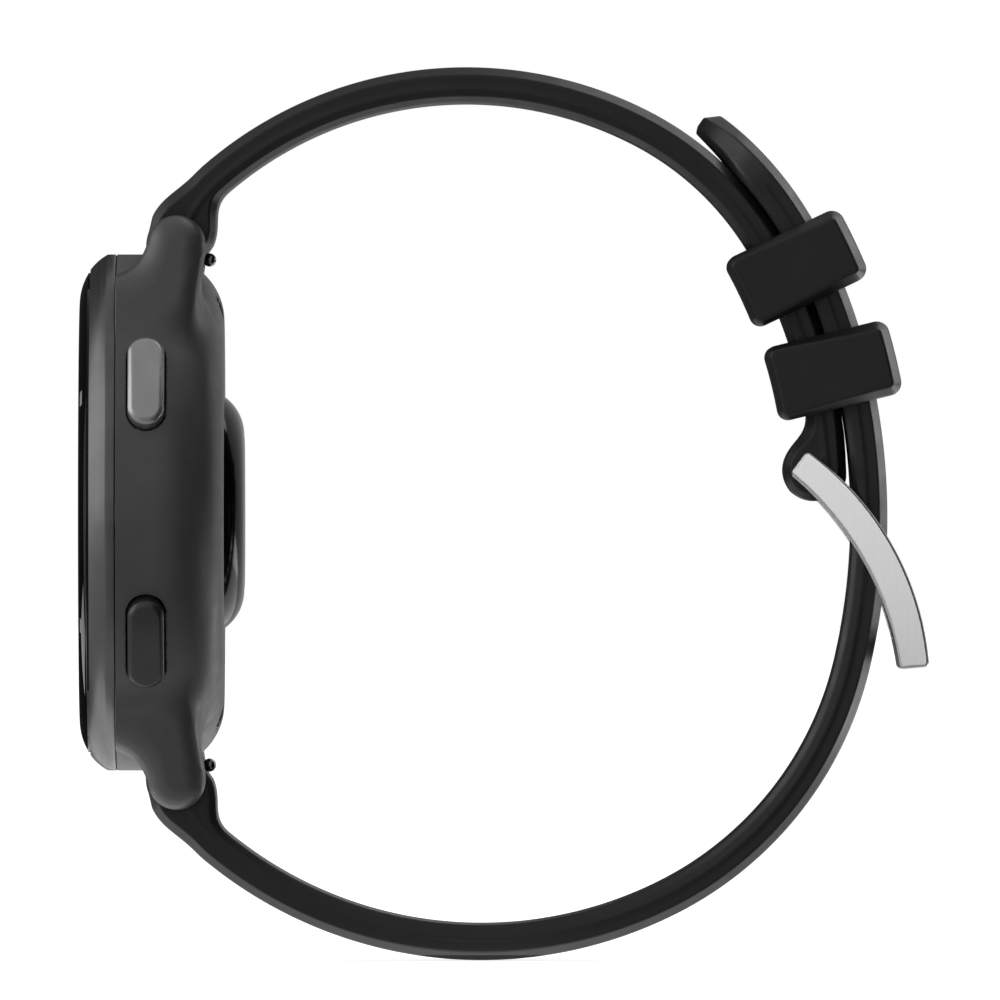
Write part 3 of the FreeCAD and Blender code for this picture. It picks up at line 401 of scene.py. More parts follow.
# ---- the band ----
def band_width(y, offset):
    """Distance out of the band's sides, which carry a fine parting line."""
    ridge = RIDGE_HEIGHT * np.exp(-((offset - RIDGE_OFFSET) / RIDGE_HALF_W) ** 2)
    return np.abs(y) - BAND_HALF_W - ridge


def root_side_view(x, z):
    """The thick end of the band round its spring bar, at 12 o'clock height."""
    return tapered(x, z, BAR, ROOT_SWELL, KNUCKLE_R, ROOT_SWELL_R)


def bar_cuts(band, x, y, z):
    """The bore for the spring bar, and the slot that the quick-release knob slides in."""
    band = without(band, disc(x, z, BAR, BAR_BORE_R), 0.1)
    tilt = math.radians(KNOB_SLOT_TILT)
    out = (x - BAR[0]) * math.cos(tilt) - (z - BAR[1]) * math.sin(tilt)
    up = (x - BAR[0]) * math.sin(tilt) + (z - BAR[1]) * math.cos(tilt)
    slot = np.maximum(frame_box(up, y - KNOB_SLOT_Y, *KNOB_SLOT), np.maximum(-out, out - KNOB_SLOT_REACH))
    return without(band, slot, 0.12)


def strap_12_field(x, y, z):
    run, offset, length = along_band(CHAIN_12, x, z)
    side_view = np.maximum(np.abs(offset) - BAND_T / 2, np.maximum(-run, run - length))
    side_view = either(side_view, root_side_view(x, z), ROOT_BLEND)
    side_view = either(side_view, disc(x, z, PIN, BUCKLE_KNUCKLE_R), BUCKLE_KNUCKLE_BLEND)
    to_other_half = -BAND_T / 2 - along_band(CHAIN_6, x, z)[1]
    peel = np.where(run < PEEL_RUN, PEEL * (1 - run / PEEL_RUN) - to_other_half, -1)
    side_view = both(side_view, peel, 0.3)
    bevel = np.where(offset > 0, OUTER_BEVEL, INNER_BEVEL)
    band = bevelled(side_view, band_width(y, offset), bevel, BEVEL_STEEPNESS)
    band = bar_cuts(band, x, y, z)
    band = without(band, disc(x, z, PIN, PIN_BORE_R), 0.1)
    below = np.maximum(np.abs(x - PIN[0]) - TONGUE_ROOM_HALF, z - PIN[1])
    tongue_room = either(disc(x, z, PIN, BUCKLE_KNUCKLE_R), below)
    return without(band, np.maximum(tongue_room, np.abs(y) - TONGUE_HALF_W - TONGUE_ROOM_GAP), 0.25)


def strap_6_field(x, y, z):
    run, offset, length = along_band(CHAIN_6, x, z)
    width = band_width(y, offset)
    oval = (np.hypot(y / BAND_HALF_W, (TIP_REACH - run) / (TIP_REACH + TIP_OVERHANG)) - 1) * BAND_HALF_W
    plan = np.where(run < TIP_REACH, oval, width)
    taper = TIP_TAPER * np.clip(1 - run / TIP_TAPER_RUN, 0, 1)
    side_view = np.maximum(np.maximum(offset, taper - offset) - BAND_T / 2, run - length)
    side_view = either(side_view, root_side_view(x, -z), ROOT_BLEND)
    at_tip = np.clip(1 - run / TIP_BEVEL_RUN, 0, 1)
    bevel = np.where(offset > 0, OUTER_BEVEL + at_tip * (TIP_BEVEL - OUTER_BEVEL), INNER_BEVEL)
    steepness = np.where(offset > 0, BEVEL_STEEPNESS, FLAT_BEVEL_STEEPNESS)
    band = bevelled(side_view, plan, bevel, steepness)
    band = bar_cuts(band, x, y, -z)
    number = np.clip(np.round((run - HOLE_IN_USE) / HOLE_PITCH), -HOLES_TO_TIP, HOLES_TO_LUG)
    hole = frame_box(run - HOLE_IN_USE - number * HOLE_PITCH, y, *HOLE_HALF, HOLE_CORNER)
    return without(band, hole, 0.3)


def keeper_field(middle_deg):
    def field(x, y, z):
        rho = np.hypot(x - STACK[0], z - STACK[1])
        angle = np.degrees(np.arctan2(z - STACK[1], x - STACK[0])) - middle_deg
        along = np.abs(angle) * math.radians(1) * rho - STACK_R * math.radians(KEEPER_HALF_DEG)
        half_in, half_w = BAND_T + KEEPER_GAP, BAND_HALF_W + KEEPER_GAP
        opening = frame_box(rho - STACK_R, y, half_in, half_w, 0.6)
        outline = both(np.abs(rho - STACK_R) - half_in - KEEPER_WALL, along, KEEPER_CORNER)
        outwards = np.clip(0.5 + (rho - STACK_R) / (2 * half_in), 0, 1)
        bevel = KEEPER_BEVEL + KEEPER_BEVEL_EXTRA * outwards
        outside = bevelled(outline, np.abs(y) - half_w - KEEPER_WALL, bevel, BEVEL_STEEPNESS, 0.15)
        return without(outside, opening, 0.3)
    return field


# ---- the buckle ----
def tongue_side_view(x, z, half_t):
    """The tongue's blade from the side: a straight run, a bend and a short straight end."""
    base = on_circle(PIN, TONGUE_HALF_T - TONGUE_BARREL_R, TONGUE_HEADING)
    bend = on_circle(base, TONGUE_STRAIGHT, TONGUE_HEADING - 90)
    centre = on_circle(bend, -TONGUE_BEND_R, TONGUE_HEADING)
    turned = on_circle(centre, TONGUE_BEND_R, TONGUE_END_HEADING)
    tip = on_circle(turned, TONGUE_END, TONGUE_END_HEADING - 90)
    angle = np.degrees(np.arctan2(z - centre[1], x - centre[0]))
    on_bend = (angle > TONGUE_END_HEADING) & (angle < TONGUE_HEADING)
    round_part = np.where(on_bend, np.abs(disc(x, z, centre, TONGUE_BEND_R)) - half_t, FAR)
    straight = tapered(x, z, base, bend, half_t, half_t)
    return either(either(straight, round_part), tapered(x, z, turned, tip, half_t, half_t * 0.8))


def buckle_frame_field(x, y, z):
    inner, inner_r = circle_through(ARM_UPPER[0], ARM_INNER_MID, ARM_LOWER[0])
    outer, outer_r = circle_through(ARM_UPPER[1], ARM_OUTER_MID, ARM_LOWER[1])
    profile = both(disc(x, z, outer, outer_r), -disc(x, z, inner, inner_r), 0.1)
    ends = np.maximum(half_plane(x, z, *reversed(ARM_UPPER)), half_plane(x, z, *ARM_LOWER))
    profile = both(profile, ends, 0.4)
    solid = both(profile, np.abs(y) - ARM_OUT, 0.28)
    window = both(np.abs(y) - ARM_IN, CROSSBAR_TOP_Z - z)
    solid = without(solid, window, 0.22)
    tongue = tongue_side_view(x, z, TONGUE_HALF_T + SEAT_DEPTH_GAP)
    solid = without(solid, np.maximum(tongue, np.abs(y) - TONGUE_HALF_W - SEAT_SIDE_GAP), 0.12)
    bore = np.maximum(disc(x, z, PIN, BUCKLE_BORE_R), np.abs(y) - ARM_OUT + BUCKLE_BORE_WALL)
    return without(solid, bore)


def tongue_field(x, y, z):
    blade = both(tongue_side_view(x, z, TONGUE_HALF_T), np.abs(y) - TONGUE_HALF_W, 0.22)
    barrel = both(disc(x, z, PIN, TONGUE_BARREL_R), np.abs(y) - TONGUE_HALF_W, 0.15)
    return without(either(blade, barrel, 0.3), disc(x, z, PIN, BUCKLE_BORE_R), 0.05)


# ---- from a field to a mesh ----
CORNERS = np.array([(i, j, k) for i in (0, 1) for j in (0, 1) for k in (0, 1)])
CELL_EDGES = [(a, b) for a in range(8) for b in range(a + 1, 8) if np.abs(CORNERS[a] - CORNERS[b]).sum() == 1]


def surface_net(field, axes, place):
    """One point in each grid cell that the surface crosses, and a quad across each crossed grid edge.

    The grid lines lie at the values of the three axes, and place() says where a grid point is in space.
    """
    grid = np.meshgrid(axes[1], axes[2], indexing="ij")
    values = np.stack([field(*place(np.full(grid[0].shape, first), *grid)) for first in axes[0]])
    inside = values < 0
    size = np.array(values.shape)
    solid = sum(inside[i:size[0] - 1 + i, j:size[1] - 1 + j, k:size[2] - 1 + k].astype(np.int8)
                for i, j, k in CORNERS)
    crossed = (solid > 0) & (solid < 8)
    cells = np.argwhere(crossed)
    number = np.full(crossed.shape, -1)
    number[crossed] = np.arange(len(cells))
    corner_values = np.stack([values[tuple((cells + corner).T)] for corner in CORNERS], 1)
    total, hits = np.zeros((len(cells), 3)), np.zeros((len(cells), 1))
    for a, b in CELL_EDGES:
        va, vb = corner_values[:, a:a + 1], corner_values[:, b:b + 1]
        crossing = (va < 0) != (vb < 0)
        share = np.where(crossing, va / np.where(crossing, va - vb, 1), 0)
        total += crossing * (CORNERS[a] + share * (CORNERS[b] - CORNERS[a]))
        hits += crossing
    steps = cells + total / hits
    spots = [np.interp(steps[:, k], np.arange(len(axes[k])), axes[k]) for k in range(3)]
    return np.stack(place(*spots), 1), net_quads(inside, number)


def net_quads(inside, number):
    quads = []
    for axis in range(3):
        u, v = (axis + 1) % 3, (axis + 2) % 3
        count = inside.shape[axis]
        first = np.take(inside, np.arange(count - 1), axis)
        second = np.take(inside, np.arange(1, count), axis)
        spots = np.argwhere(first != second)
        ring = []
        for du, dv in ((-1, -1), (0, -1), (0, 0), (-1, 0)):
            cell = spots.copy()
            cell[:, u] += du
            cell[:, v] += dv
            ring.append(number[tuple(cell.T)])
        ring = np.stack(ring, 1)
        solid_first = first[tuple(spots.T)]
        ring[~solid_first] = ring[~solid_first][:, ::-1]
        quads.append(ring)
    return np.concatenate(quads)


def slope_of(field, points, reach):
    slope = np.empty_like(points)
    for axis in range(3):
        shift = np.zeros(3)
        shift[axis] = reach
        slope[:, axis] = (field(*(points + shift).T) - field(*(points - shift).T)) / (2 * reach)
    return slope


def settle(field, points, step, rounds=3):
    """Move points along the field's slope until they lie on its zero surface."""
    for _ in range(rounds):
        slope = slope_of(field, points, 0.02)
        distance = field(*points.T) / np.maximum((slope ** 2).sum(1), 0.25)
        points = points - np.clip(distance, -0.5 * step, 0.5 * step)[:, None] * slope
    return points


def relaxed(points, faces):
    """Each point moved to the middle of its neighbours, so that the faces are even."""
    starts = faces.ravel()
    ends = np.roll(faces, -1, axis=1).ravel()
    count = np.bincount(starts, minlength=len(points)) + np.bincount(ends, minlength=len(points))
    middle = np.empty_like(points)
    for axis in range(3):
        column = points[:, axis]
        middle[:, axis] = (np.bincount(starts, column[ends], len(points))
                           + np.bincount(ends, column[starts], len(points)))
    return middle / count[:, None]


def in_scene(name, data):
    """A new object, linked to the scene."""
    obj = bpy.data.objects.new(name, data)
    bpy.context.scene.collection.objects.link(obj)
    return obj


def mesh_object(name, points, faces):
    """A smooth-shaded object from points in millimetres."""
    mesh = bpy.data.meshes.new(name)
    mesh.from_pydata((np.asarray(points) * MM).tolist(), [], faces)
    mesh.validate()
    mesh.polygons.foreach_set("use_smooth", [True] * len(mesh.polygons))
    return in_scene(name, mesh)


def thinned(obj, keep):
    """Fewer faces where the shape is flat."""
    modifier = obj.modifiers.new("thin", "DECIMATE")
    modifier.ratio = keep
    shaped = obj.evaluated_get(bpy.context.evaluated_depsgraph_get())
    mesh = bpy.data.meshes.new_from_object(shaped)
    obj.modifiers.clear()
    obj.data = mesh
    return obj


def straight(x, y, z):
    return x, y, z


def even_axes(low, high, step):
    return [np.arange(a - 1.6 * step, b + 2.6 * step, step) for a, b in zip(low, high)]


def uneven_axis(stretches):
    """Grid lines over stretches of (from, to, step) that follow each other."""
    lines = [np.arange(start, end - step / 2, step * FINE) for start, end, step in stretches]
    return np.concatenate([*lines, [stretches[-1][1]]])


def along_chain(chain):
    """Places grid points by distance along a chain of arcs, across the band, and offset from the arcs."""
    lengths = [radius * math.radians(abs(a1 - a0)) for _, radius, a0, a1 in chain]
    starts = np.concatenate([[0], np.cumsum(lengths)[:-1]])
    table = np.array([(*centre, radius, a0, math.copysign(1, a1 - a0)) for centre, radius, a0, a1 in chain])

    def place(run, across, offset):
        number = np.clip(np.searchsorted(starts, run, side="right") - 1, 0, len(chain) - 1)
        centre_x, centre_z, radius, first, way = np.moveaxis(table[number], -1, 0)
        angle = np.radians(first) + way * (run - starts[number]) / radius
        rho = radius + offset
        return centre_x + rho * np.cos(angle), across, centre_z + rho * np.sin(angle)
    return place


def corner_normals(field, mesh, points):
    """The field's slope just inside each corner of each face. Flat faces then stay flat up to their edges."""
    corners = np.empty(len(mesh.loops), int)
    mesh.loops.foreach_get("vertex_index", corners)
    counts = np.empty(len(mesh.polygons), int)
    mesh.polygons.foreach_get("loop_total", counts)
    owner = np.repeat(np.arange(len(counts)), counts)
    middles = np.stack([np.bincount(owner, points[corners, axis]) for axis in range(3)], 1) / counts[:, None]
    slope = slope_of(field, points[corners] + 0.3 * (middles[owner] - points[corners]), 0.03)
    return slope / np.maximum(np.linalg.norm(slope, axis=1), 1e-9)[:, None]


def field_object(name, field, axes, place, keep):
    """A piece from a distance field, with its normals taken from the field."""
    step = np.median(np.concatenate([np.diff(axis) for axis in axes]))
    points, quads = surface_net(field, axes, place)
    for _ in range(2):
        points = settle(field, relaxed(points, quads), step)
    faces = points[quads]
    upward = np.cross(faces[:, 1] - faces[:, 0], faces[:, 2] - faces[:, 0])
    if (upward * slope_of(field, faces.mean(1), 0.05)).sum() < 0:
        quads = quads[:, ::-1]
    obj = thinned(mesh_object(name, points, quads.tolist()), keep)
    points = np.array([vertex.co for vertex in obj.data.vertices]) / MM
    points = settle(field, points, step)
    obj.data.vertices.foreach_set("co", (points * MM).ravel())
    obj.data.update()
    obj.data.normals_split_custom_set(corner_normals(field, obj.data, points).tolist())
    return obj


# ---- turned parts ----
def arc_points(a, b, c, count):
    """Points on the arc from a through b to c."""
    centre, radius = circle_through(a, b, c)
    start, middle, end = (math.degrees(math.atan2(p[1] - centre[1], p[0] - centre[0])) for p in (a, b, c))
    first = (middle - start + 180) % 360 - 180
    second = (end - middle + 180) % 360 - 180
    return [on_circle(centre, radius, start + (first + second) * k / count) for k in range(count + 1)]


def rounded_path(corners):
    """A line through (depth, radius, rounding) corners, each rounded by an arc. Its ends have no rounding."""
    path = []
    for index, (x, r, rounding) in enumerate(corners):
        if rounding == 0:
            path.append((x, r))
            continue
        before, after = Vector(corners[index - 1][:2]), Vector(corners[index + 1][:2])
        here = Vector((x, r))
        to_before, to_after = (before - here).normalized(), (after - here).normalized()
        half = to_before.angle(to_after) / 2
        run = rounding / math.tan(half)
        centre = here + (to_before + to_after).normalized() * rounding / math.sin(half)
        start, end = here + to_before * run - centre, here + to_after * run - centre
        for k in range(6):
            path.append(tuple(centre + start.slerp(end, k / 5) * rounding))
    return path


def turned(name, path, segments=240, sharp_deg=35):
    """A profile of (depth, radius) turned about the watch's axis. One that starts off the axis is a ring."""
    points, rows = [], []
    for x, r in path:
        if r < 1e-6:
            rows.append([len(points)] * segments)
            points.append((x, 0, 0))
        else:
            rows.append([len(points) + k for k in range(segments)])
            points += [(x, *on_circle((0, 0), r, 360 * k / segments)) for k in range(segments)]
    faces = []
    is_ring = path[0][1] > 1e-6
    for index in range(len(rows) if is_ring else len(rows) - 1):
        low, high = rows[index], rows[(index + 1) % len(rows)]
        for k in range(segments):
            n = (k + 1) % segments
            face = list(dict.fromkeys((low[k], low[n], high[n], high[k])))
            if len(face) > 2:
                faces.append(face)
    obj = mesh_object(name, points, faces)
    obj.data.set_sharp_from_angle(angle=math.radians(sharp_deg))
    return obj


def lens_front_curve():
    return arc_points((LENS_X, LENS_FLAT_R), LENS_CURVE_MID, (LENS_EDGE_X, LENS_R), 14)


def make_lens():
    """The glass, with the narrow groove where its edge meets the bezel."""
    rings = [(LENS_X, r) for r in (0.0, 6.0, 11.0, 14.5)]
    front = [p for p in lens_front_curve() if p[0] < LENS_EDGE_X - GROOVE_W]
    groove_x, floor_r = LENS_EDGE_X - GROOVE_W, LENS_R - GROOVE_DEPTH
    edge_r = np.interp(groove_x, *zip(*lens_front_curve()))
    groove = [(groove_x, edge_r), (groove_x, floor_r), (LENS_EDGE_X, floor_r), (LENS_EDGE_X, LENS_R)]
    back = [(LENS_BACK_X, LENS_R), (LENS_BACK_X, 12.0), (LENS_BACK_X, 0.0)]
    return turned("cover_lens", rings + front + groove + back)


def make_hour_ticks():
    """Pale marks round the rim of the glass, at 2, 4, 8 and 10 o'clock."""
    curve = sorted((r, x) for x, r in lens_front_curve())
    radii = np.linspace(*TICK_R, 4)
    front = np.interp(radii, *zip(*curve))
    outline = [*zip(front - TICK_LIFT, radii), *reversed([*zip(front + 0.05, radii)])]
    points, faces = [], []
    for hour in (1, 5, 7, 11):
        start = len(points)
        sections = np.linspace(30 * hour - TICK_HALF_DEG, 30 * hour + TICK_HALF_DEG, 5)
        for degrees in sections:
            points += [(x, *on_circle((0, 0), r, degrees)) for x, r in outline]
        count = len(outline)
        for section in range(len(sections) - 1):
            low = start + section * count
            faces += [[low + k, low + (k + 1) % count, low + count + (k + 1) % count, low + count + k]
                      for k in range(count)]
        last = start + (len(sections) - 1) * count
        faces += [[*reversed(range(start, start + count))], [*range(last, last + count)]]
    obj = mesh_object("hour_ticks", points, faces)
    obj.data.set_sharp_from_angle(angle=math.radians(40))
    return obj


def make_bezel():
    lip_r = LENS_R + 0.06
    curve = arc_points((LENS_EDGE_X, lip_r), BEZEL_CURVE_MID, (BEZEL_SIDE_X, CASE_R), 12)
    ledge_x, rear_x = LENS_BACK_X + 0.15, SEAM_X - 0.01
    inner = rounded_path([(BEZEL_SIDE_X, CASE_R, 0), (rear_x, CASE_R, 0.07), (rear_x, BEZEL_INNER_R, 0.1),
                          (ledge_x, BEZEL_INNER_R, 0.1), (ledge_x, lip_r, 0)])
    return turned("bezel_ring", curve + inner[1:], 320, 50)


def make_sensor_window():
    curve = arc_points((BACK_X, SENSOR_BASE_R), SENSOR_CURVE_MID, (SENSOR_X - 0.05, SENSOR_CROWN_R), 16)
    crown = [(SENSOR_X - 0.012, 6.0), (SENSOR_X, 5.4), (SENSOR_X, 3.0), (SENSOR_X, 0.0)]
    neck_x = BACK_X - CASE_WALL
    inside = [(SENSOR_ROOF_X, 0.0), (SENSOR_ROOF_X, SENSOR_HOLLOW_R), (neck_x, SENSOR_HOLLOW_R),
              (neck_x, SENSOR_NECK_R), (BACK_X, SENSOR_NECK_R)]
    return turned("sensor_lens", inside + curve + crown, 200, 30)


# ---- materials ----
class Finish:
    """A procedural material, built up from its shader outwards."""

    def __init__(self, name, colour, roughness, metallic=0.0, **sockets):
        self.name = name
        self.material = bpy.data.materials.new(name)
        self.material.use_nodes = True
        self.nodes = self.material.node_tree.nodes
        self.links = self.material.node_tree.links
        self.shader = self.nodes["Principled BSDF"]
        self.colour = (*colour, 1.0)
        self.roughness = roughness
        self.set("Base Color", self.colour)
        self.set("Roughness", roughness)
        self.set("Metallic", metallic)
        for socket, value in sockets.items():
            self.set(socket.replace("_", " "), value)
        self.place = self.add("ShaderNodeTexCoord").outputs["Object"]

    def set(self, socket, value):
        self.shader.inputs[socket].default_value = value

    def add(self, kind, values=(), wires=()):
        """A new node, with values set on some of its inputs and wires joined to others."""
        node = self.nodes.new(kind)
        for socket, value in dict(values).items():
            node.inputs[socket].default_value = value
        for socket, output in dict(wires).items():
            self.links.new(output, node.inputs[socket])
        return node

    def stretched(self, scale):
        """Coordinates scaled by different amounts along X, Y and Z."""
        return self.add("ShaderNodeMapping", {"Scale": scale}, {"Vector": self.place}).outputs["Vector"]

    def turned(self, scale_depth, scale_radius):
        """Coordinates that change with depth and radius only, as the marks of a lathe do."""
        apart = self.add("ShaderNodeSeparateXYZ", wires={0: self.place}).outputs
        across = self.add("ShaderNodeCombineXYZ", wires={"X": apart["Y"], "Y": apart["Z"]})
        length = self.add("ShaderNodeVectorMath", wires={0: across.outputs[0]})
        length.operation = "LENGTH"
        depth = self.times(apart["X"], scale_depth)
        radius = self.times(length.outputs["Value"], scale_radius)
        return self.add("ShaderNodeCombineXYZ", wires={"X": depth, "Y": radius}).outputs[0]

    def times(self, value, factor):
        multiply = self.add("ShaderNodeMath", {1: factor}, {0: value})
        multiply.operation = "MULTIPLY"
        return multiply.outputs[0]

    def noise(self, scale, detail, vector=None):
        settings = {"Scale": scale, "Detail": detail}
        return self.add("ShaderNodeTexNoise", settings, {"Vector": vector or self.place}).outputs["Fac"]

    def spread(self, factor, low, high):
        """A value from 0.3 to 0.7 spread to a wider or narrower range."""
        ranges = {"From Min": 0.3, "From Max": 0.7, "To Min": low, "To Max": high}
        return self.add("ShaderNodeMapRange", ranges, {"Value": factor}).outputs["Result"]

    def shade(self, factor, amount):
        """Colour a little lighter and darker by a pattern."""
        darker = [c * (1 - amount) for c in self.colour[:3]] + [1]
        lighter = [min(c * (1 + amount), 1) for c in self.colour[:3]] + [1]
        mix = self.add("ShaderNodeMix", {6: darker, 7: lighter}, {0: self.spread(factor, 0, 1)})
        mix.data_type = "RGBA"
        self.links.new(mix.outputs[2], self.shader.inputs["Base Color"])
        return self

    def wear(self, factor, amount):
        """Roughness a little higher and lower by a pattern."""
        low, high = max(self.roughness - amount, 0.02), min(self.roughness + amount, 1)
        self.links.new(self.spread(factor, low, high), self.shader.inputs["Roughness"])
        return self

    def bump(self, factor, height, strength):
        relief = self.add("ShaderNodeBump", {"Distance": height, "Strength": strength}, {"Height": factor})
        self.links.new(relief.outputs["Normal"], self.shader.inputs["Normal"])
        return self


def silicone():
    """Matte moulded rubber: a fine spark-eroded grain and faint handling marks."""
    finish = Finish("silicone", (0.013, 0.013, 0.0135), 0.40, Specular_IOR_Level=0.5)
    finish.shade(finish.noise(140, 4), 0.18).wear(finish.noise(420, 5), 0.06)
    return finish.bump(finish.noise(5200, 2), 0.00001, 0.35)


def case_polymer():
    """Fibre-filled polymer with a fine satin texture."""
    finish = Finish("case_polymer", (0.070, 0.070, 0.072), 0.42, Specular_IOR_Level=0.9)
    finish.shade(finish.noise(260, 5), 0.10).wear(finish.noise(900, 4), 0.05)
    return finish.bump(finish.noise(6500, 2), 0.00001, 0.35)


def turned_metal(name, colour, roughness):
    """Metal with the fine rings of a lathe, under a satin anodised skin."""
    finish = Finish(name, colour, roughness, 0.85, Coat_Weight=0.15)
    rings = finish.noise(1.0, 2, finish.turned(16000, 16000))
    finish.shade(finish.noise(300, 3), 0.08).wear(rings, 0.07)
    return finish.bump(rings, 0.000004, 0.5)


def brushed_metal(name, colour, roughness, scale, strength=0.4):
    """Metal brushed along the axis with the smallest scale."""
    finish = Finish(name, colour, roughness, 1.0)
    lines = finish.noise(1.0, 3, finish.stretched(scale))
    finish.shade(lines, 0.03).wear(lines, 0.02)
    return finish.bump(lines, 0.000001, strength)


def plain_moulding(name, colour, roughness, metallic=0.0, grain=3000, depth=0.00001):
    finish = Finish(name, colour, roughness, metallic)
    finish.shade(finish.noise(grain / 8, 4), 0.15).wear(finish.noise(grain / 4, 3), 0.05)
    return finish.bump(finish.noise(grain, 2), depth, 0.4)


def gloss_black(name, roughness):
    """Polished black glass, with faint smears that only show in a reflection."""
    finish = Finish(name, (0.003, 0.003, 0.0035), roughness, Specular_IOR_Level=0.25)
    return finish.wear(finish.noise(90, 5), roughness * 0.6)


def circuit_board():
    """Green solder mask with the faint relief of the copper under it."""
    finish = Finish("circuit_board", (0.012, 0.085, 0.035), 0.32, Coat_Weight=0.3)
    cells = finish.add("ShaderNodeTexVoronoi", {"Scale": 620}, {"Vector": finish.place})
    cells.distance = "MANHATTAN"
    finish.shade(cells.outputs["Distance"], 0.35)
    return finish.bump(cells.outputs["Distance"], 0.00003, 0.4)


def make_materials():
    """The finish for each material slot, by its name."""
    made = [
        case_polymer(),
        turned_metal("bezel_metal", (0.155, 0.155, 0.16), 0.34),
        gloss_black("cover_glass", 0.03),
        gloss_black("sensor_gloss", 0.13),
        gloss_black("display_glass", 0.06),
        plain_moulding("adhesive", (0.02, 0.02, 0.02), 0.7),
        plain_moulding("seal_rubber", (0.02, 0.02, 0.02), 0.55),
        brushed_metal("steel", (0.56, 0.56, 0.57), 0.28, (9000, 700, 9000)),
        plain_moulding("dark_steel", (0.22, 0.22, 0.23), 0.12, 1.0, 1500, 0.000002),
        plain_moulding("flex_circuit", (0.42, 0.17, 0.03), 0.38, 0.0, 1800),
        plain_moulding("inner_polymer", (0.035, 0.035, 0.038), 0.5),
        circuit_board(),
        plain_moulding("chip_epoxy", (0.02, 0.02, 0.022), 0.55, 0.0, 5000),
        brushed_metal("tin_plate", (0.62, 0.62, 0.60), 0.34, (3000, 400, 9000)),
        plain_moulding("gold_plate", (0.80, 0.52, 0.20), 0.22, 1.0, 2500, 0.000003),
        brushed_metal("battery_foil", (0.45, 0.46, 0.48), 0.42, (1500, 900, 3500)),
        plain_moulding("tungsten", (0.22, 0.22, 0.23), 0.38, 1.0, 4000),
        plain_moulding("led_epoxy", (0.50, 0.66, 0.42), 0.12, 0.0, 1200),
        turned_metal("button_light", (0.44, 0.44, 0.45), 0.34),
        turned_metal("button_dark", (0.075, 0.075, 0.078), 0.36),
        brushed_metal("buckle_steel", (0.68, 0.68, 0.69), 0.30, (2600, 2600, 260), 0.05),
        silicone(),
    ]
    return {finish.name: finish.material for finish in made}


def tick_material():
    return plain_moulding("tick_ink", (0.42, 0.42, 0.43), 0.35, 0.0, 4000).material


# ---- putting the pieces in place ----
MATERIALS = make_materials()
NODE_SLOTS = {entry["node"]: entry["material_slot"] for entry in frame["record"]["subparts"]}
NODE_BODIES = {node: body for body, nodes in frame["record"]["behaviour"]["bodies"].items() for node in nodes}


def dress(obj, node, material=None):
    """Give a new piece the finish and the body that the table gives the CAD node it stands for."""
    obj.data.materials.clear()
    obj.data.materials.append(material or MATERIALS[NODE_SLOTS[node]])
    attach(obj, NODE_BODIES[node])
    return obj


def stand_for(obj, node):
    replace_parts(dress(obj, node), node)


def from_field(name, node, field, step, keep=0.4):
    """A field piece that fills its CAD node's box."""
    low, high = span(node)
    margin = 0.6
    axes = even_axes([v - margin for v in low], [v + margin for v in high], step * FINE)
    stand_for(field_object(name, field, axes, straight, keep), node)


def make_watch():
    stand_for(make_lens(), "lens")
    dress(make_hour_ticks(), "lens", tick_material())
    stand_for(make_bezel(), "bezel")
    stand_for(make_sensor_window(), "sensor_window")
    from_field("case_shell", "case", case_field, 0.17, 0.18)
    from_field("action_button_cap", "action_button", button_field(1), 0.09)
    from_field("back_button_cap", "back_button", button_field(-1), 0.09)


def across_axis():
    """Grid lines across the band: fine at its edges, its holes and its knob slot."""
    edge, side, slot_end, hole_side = BAND_HALF_W + 0.5, 8.7, 5.0, 2.1
    return uneven_axis([(-edge, -side, 0.15), (-side, -slot_end, 0.3), (-slot_end, -hole_side, 0.7),
                        (-hole_side, hole_side, 0.22), (hole_side, side, 0.7), (side, edge, 0.15)])


def lengthways_axis(length, *stretches):
    """Grid lines along the band: the stretches given, the plain part, and finer lines over its thick end."""
    root = length - ROOT_RUN
    return uneven_axis([*stretches, (stretches[-1][1], root, 0.8), (root, length + ROOT_PAST, 0.25)])


def band_12_axes():
    length = along_band(CHAIN_12, 0, 0)[2]
    runs = lengthways_axis(length, (-4.8, 6, 0.22))
    return [runs, across_axis(), uneven_axis([(-4.9, 3.4, 0.15)])]


def band_6_axes():
    length = along_band(CHAIN_6, 0, 0)[2]
    last_hole = HOLE_IN_USE + HOLES_TO_LUG * HOLE_PITCH + 4
    runs = lengthways_axis(length, (-1.1, 3, 0.15), (3, 8, 0.25), (8, last_hole, 0.28))
    return [runs, across_axis(), uneven_axis([(-3.4, 3.4, 0.15)])]


def make_band():
    stand_for(field_object("band_12", strap_12_field, band_12_axes(), along_chain(CHAIN_12), 0.5), "strap_12")
    stand_for(field_object("band_6", strap_6_field, band_6_axes(), along_chain(CHAIN_6), 0.45), "strap_6")
    for node, degrees in KEEPER_ANGLES.items():
        half_run = STACK_R * math.radians(KEEPER_HALF_DEG) + 0.6
        half_in = BAND_T + KEEPER_GAP + KEEPER_WALL + 0.5
        half_w = BAND_HALF_W + KEEPER_GAP + KEEPER_WALL + 0.5
        axes = even_axes((-half_run, -half_w, -half_in), (half_run, half_w, half_in), 0.17 * FINE)
        place = along_chain([(STACK, STACK_R, degrees, degrees + KEEPER_HALF_DEG)])
        stand_for(field_object(node + "_loop", keeper_field(degrees), axes, place, 0.3), node)
    from_field("buckle_bow", "buckle_frame", buckle_frame_field, 0.15)
    from_field("buckle_prong", "buckle_tongue", tongue_field, 0.1)


def let_springs_give():
    """Each spring bar's spring gets a mesh of its own."""
    for side in ("12", "6"):
        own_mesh(frame["nodes"][f"bar_{side}_spring"])


